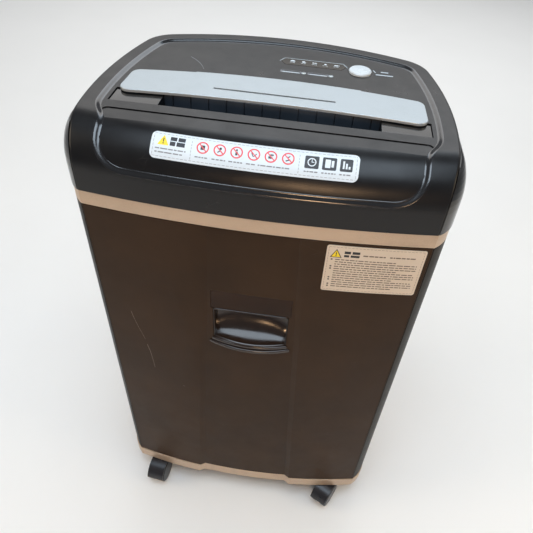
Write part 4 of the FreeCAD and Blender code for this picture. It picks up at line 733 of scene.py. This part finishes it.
def circle_of(a, b, c):
    """Centre and radius of the circle through three points in plan."""
    ax, ay, bx, by = b.x - a.x, b.y - a.y, c.x - a.x, c.y - a.y
    scale = 2 * (ax * by - ay * bx)
    x = (by * (ax**2 + ay**2) - ay * (bx**2 + by**2)) / scale
    y = (ax * (bx**2 + by**2) - bx * (ax**2 + ay**2)) / scale
    centre = Vector((a.x + x, a.y + y))
    return centre, (centre - a).length


SIDE_SPOTS = ((173.7, -119.0), (181.6, -39.0), (164.0, 91.0))
BACK_SPOTS = ((140.0, 118.0), (0.0, 143.0), (-140.0, 118.0))
OUTLINE_ROUND = 40.0


def recess_path():
    """Right half of the recess's edge, from the middle of its lower front line to the middle of the back."""
    half, low, corner, inset = 152.0, 608.0, 29.0, 15.5
    path = []
    for i in range(17):
        x = (half - corner) * i / 16
        path.append(roll_spot(x, low))
    for i in range(1, 11):
        turn = math.radians(90 * i / 10)
        across = half - corner + corner * math.sin(turn)
        path.append(roll_spot(across, low + corner - corner * math.cos(turn)))
    side_centre, side_radius = circle_of(*(Vector(spot) for spot in SIDE_SPOTS))
    back_centre, back_radius = circle_of(*(Vector(spot) for spot in BACK_SPOTS))
    side_radius -= inset
    back_radius -= inset
    bend_low, bend_high = -100.0, -56.0
    edge_x = side_centre.x + math.sqrt(side_radius**2 - (bend_high - side_centre.y) ** 2)
    y = path[-1][0].y + 3.0
    while y < bend_low:
        path.append(top_spot(half, y))
        y += 3.0
    poles = [Vector((half, bend_low)), Vector((half, bend_low + 20)), Vector((edge_x - 1, bend_high - 20)),
             Vector((edge_x, bend_high))]
    for i in range(17):
        t = i / 16
        weights = ((1 - t) ** 3, 3 * t * (1 - t) ** 2, 3 * t * t * (1 - t), t**3)
        spot = sum((pole * weight for pole, weight in zip(poles, weights)), Vector((0.0, 0.0)))
        path.append(top_spot(spot.x, spot.y))
    rounding = OUTLINE_ROUND - inset
    centre = max(circle_meeting(side_centre, side_radius - rounding, back_centre, back_radius - rounding),
                 key=lambda p: p.x)
    start = (centre - side_centre).angle_signed(Vector((1.0, 0.0)))
    end = (centre - back_centre).angle_signed(Vector((1.0, 0.0)))
    side_start = math.asin((bend_high - side_centre.y) / side_radius)
    for i in range(1, 25):
        turn = side_start + (start - side_start) * i / 24
        path.append(spot_round(side_centre, side_radius, turn))
    for i in range(1, 13):
        turn = start + (end - start) * i / 12
        path.append(spot_round(centre, rounding, turn))
    for i in range(1, 21):
        turn = end + (math.pi / 2 - end) * i / 20
        path.append(spot_round(back_centre, back_radius, turn))
    return path


def roll_spot(x, z):
    """Point and normal on the head's outer skin at a height on its rolled front."""
    angle = math.asin(min((z - ROLL_Z) / ROLL, 1.0))
    return roll_point(x, angle, 0.0), roll_normal(x, angle)


def top_spot(x, y):
    """Point and normal on the head's outer skin at a place in plan."""
    radial = math.hypot(x, y - AXIS_Y)
    reach = radial - (FACE_RADIUS - ROLL)
    if reach <= 0:
        return Vector((x, y, TOP_Z)), Vector((0.0, 0.0, 1.0))
    angle = math.acos(min(reach / ROLL, 1.0))
    return roll_point(x, angle, 0.0), roll_normal(x, angle)


def spot_round(centre, radius, turn):
    """Point and normal on the head's outer skin at a turn round a centre in plan."""
    return top_spot(centre.x + radius * math.cos(turn), centre.y + radius * math.sin(turn))


def recess_slope():
    """A soft slope from the rim down to the recessed top, all round and over the rolled front."""
    right = recess_path()
    left = [(Vector((-p.x, p.y, p.z)), Vector((-n.x, n.y, n.z))) for p, n in reversed(right[1:-1])]
    loop = right + left
    width = 5.2
    steps = 8
    lap = 0.4
    sunk = RECESS + 0.5
    section = [(-lap, 0.02)]
    for i in range(steps):
        share = i / steps
        section.append((width * share, RECESS * (3 * share**2 - 2 * share**3) + 0.01))
    section += [(width, RECESS - 0.03), (width + 0.3, sunk), (-lap, sunk)]
    count = len(section)
    points, faces = [], []
    for i, (point, normal) in enumerate(loop):
        before = loop[i - 1][0]
        after = loop[(i + 1) % len(loop)][0]
        inward = normal.cross(after - before).normalized()
        points += [point + inward * a - normal * d for a, d in section]
    total = len(loop)
    for i in range(total):
        here, there = i * count, (i + 1) % total * count
        for k in range(count):
            nxt = (k + 1) % count
            faces.append([here + k, there + k, there + nxt, here + nxt])
    obj = recalc(add_piece("head_recess_slope", points, faces, [FINISHES["rim_gloss"]]))
    sharpen(obj, 50)


# ---------------------------------------------------------------- finger grip

GRIP_FACE = -126.6


def grip_profile(t):
    """Points (y, z) from the top of the opening round the bowl to the lip, at a share t of the half width."""
    top, low = 443.0, 394.2
    deep = GRIP_FACE + 25.0 - 5.0 * abs(t) ** 3
    lip = GRIP_FACE - 8.6 * (1 - t * t)
    knee = 421.0 + 7.0 * (1 - t * t)
    points = [
        (GRIP_FACE + 0.1, top),
        (GRIP_FACE + 4.0, top - 0.3),
        (deep - 3.0, top - 1.2),
        (deep, top - 4.0),
    ]
    points += [(deep, top - 4.0 + (knee - top + 4.0) * i / 4) for i in range(1, 5)]
    for i in range(1, 15):
        turn = math.pi / 2 * i / 14
        y = deep + (lip - deep) * (1 - math.cos(turn)) ** 0.92
        z = knee + (low - knee) * math.sin(turn)
        points.append((y, z))
    return points


def grip_bowl():
    """The scooped hollow behind the opening, as a thin wall."""
    half = 41.5
    columns = 40
    points, faces = [], []
    rows = len(grip_profile(0.0))
    for i in range(columns + 1):
        t = -1 + 2 * i / columns
        points += [Vector((half * t, y, z)) for y, z in grip_profile(t)]
    for i in range(columns):
        for k in range(rows - 1):
            a = i * rows + k
            faces.append([a, a + 1, a + rows + 1, a + rows])
    faces.append(list(range(rows)))
    faces.append(list(reversed(range(columns * rows, (columns + 1) * rows))))
    obj = add_piece("grip_bowl", points, faces, [FINISHES["grip_black"]], body="bin")
    thick = obj.modifiers.new("wall", "SOLIDIFY")
    thick.thickness = 1.1 * MM
    thick.offset = 1.0
    thick.use_even_offset = False
    sharpen(obj, 35)
    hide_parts("bin_handle_cup")
    return obj


def grip_lip(name, ends, reach, low, high, round_):
    """A bowed bar across the foot of the grip, its outer edges rounded."""
    chord = GRIP_FACE - 1.4
    outline = []
    for turn in range(-40, 41, 4):
        x = ends * math.sin(math.radians(turn)) / math.sin(math.radians(40))
        outline.append((x, chord - (reach - 1.4) * (1 - (x / ends) ** 2)))
    outline += [(ends - 3.0, chord + 3.4), (-ends + 3.0, chord + 3.4)]
    count = len(outline)
    points = [Vector((x, y, z)) for z in (low, high) for x, y in outline]
    faces = [list(reversed(range(count))), list(range(count, 2 * count))]
    faces += [[i, (i + 1) % count, count + (i + 1) % count, count + i] for i in range(count)]
    obj = recalc(add_piece(name, points, faces, [FINISHES["grip_black"]], body="bin"))
    edge = obj.modifiers.new("edges", "BEVEL")
    edge.width = round_ * MM
    edge.segments = 4
    edge.limit_method = "ANGLE"
    edge.angle_limit = math.radians(40)
    edge.harden_normals = True
    sharpen(obj, 60)
    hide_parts("bin_handle_cup")


front_label_art()
panel_label_art()
top_marks()
scuffs()
recess_slope()
grip_bowl()
grip_lip("grip_lip_inner", 45.4, 9.0, 389.8, 394.4, 1.5)
grip_lip("grip_lip_outer", 48.8, 11.2, 384.4, 389.2, 1.6)

# ---------------------------------------------------------------- studio

scene = bpy.context.scene
scene.view_settings.view_transform = "Standard"


def floor():
    mesh = bpy.data.meshes.new("studio_floor")
    b = bmesh.new()
    bmesh.ops.create_circle(b, cap_ends=True, segments=96, radius=9.0)
    b.to_mesh(mesh)
    b.free()
    obj = bpy.data.objects.new("studio_floor", mesh)
    scene.collection.objects.link(obj)
    f = Finish("studio_floor", Specular_IOR_Level=0.2)
    f.colour(f.blend(f.noise(3.0, 3.0), tone(236, 236, 234), tone(242, 242, 240)))
    f.gloss(f.ramp(f.noise(40.0, 3.0), 0.3, 0.7, 0.6, 0.7))
    mesh.materials.append(f.material)


def softbox(name, place, aim, width, height, power, colour):
    data = bpy.data.lights.new(name, "AREA")
    data.shape = "RECTANGLE"
    data.size, data.size_y = width, height
    data.energy = power
    data.color = colour
    obj = bpy.data.objects.new(name, data)
    obj.location = place
    obj.rotation_euler = (Vector(aim) - Vector(place)).to_track_quat("-Z", "Y").to_euler()
    scene.collection.objects.link(obj)


def camera():
    data = bpy.data.cameras.new("photo_camera")
    data.lens = 35.59
    data.sensor_width = 36.0
    data.shift_x = -0.0251
    data.shift_y = 0.0039
    data.clip_start, data.clip_end = 0.02, 40.0
    obj = bpy.data.objects.new("photo_camera", data)
    obj.location = (0.05312, -0.51075, 0.88981)
    heading, tilt, roll = math.radians(3.70), math.radians(90 - 43.98), math.radians(4.97)
    turn = Matrix.Rotation(heading, 4, "Z") @ Matrix.Rotation(tilt, 4, "X") @ Matrix.Rotation(roll, 4, "Z")
    obj.rotation_euler = turn.to_euler()
    scene.collection.objects.link(obj)
    scene.camera = obj


floor()
camera()
world = bpy.data.worlds.new("studio")
world.use_nodes = True
world.node_tree.nodes["Background"].inputs["Color"].default_value = (0.93, 0.95, 1.0, 1.0)
world.node_tree.nodes["Background"].inputs["Strength"].default_value = 0.22
scene.world = world
softbox("overhead", (0.0, -0.45, 2.1), (0.0, -0.1, 0.5), 1.3, 1.3, 27.0, (0.74, 0.87, 1.0))
softbox("floor_wash", (0.0, 1.9, 1.7), (0.0, 1.9, 0.0), 3.6, 1.6, 30.0, (1.0, 0.98, 0.96))
softbox("rear_sky", (0.3, 2.3, 2.7), (0.0, 0.0, 0.6), 2.4, 1.0, 9.0, (0.66, 0.83, 1.0))
softbox("left_fill", (-1.8, -0.5, 1.3), (0.0, 0.0, 0.5), 0.8, 1.2, 11.0, (1.0, 0.84, 0.64))
softbox("right_fill", (1.7, -0.3, 1.0), (0.0, 0.0, 0.4), 0.8, 1.1, 9.0, (1.0, 0.80, 0.54))
softbox("warm_lamp", (0.16, -1.7, 0.9), (0.03, -0.12, 0.58), 0.28, 0.28, 7.0, (1.0, 0.62, 0.34))
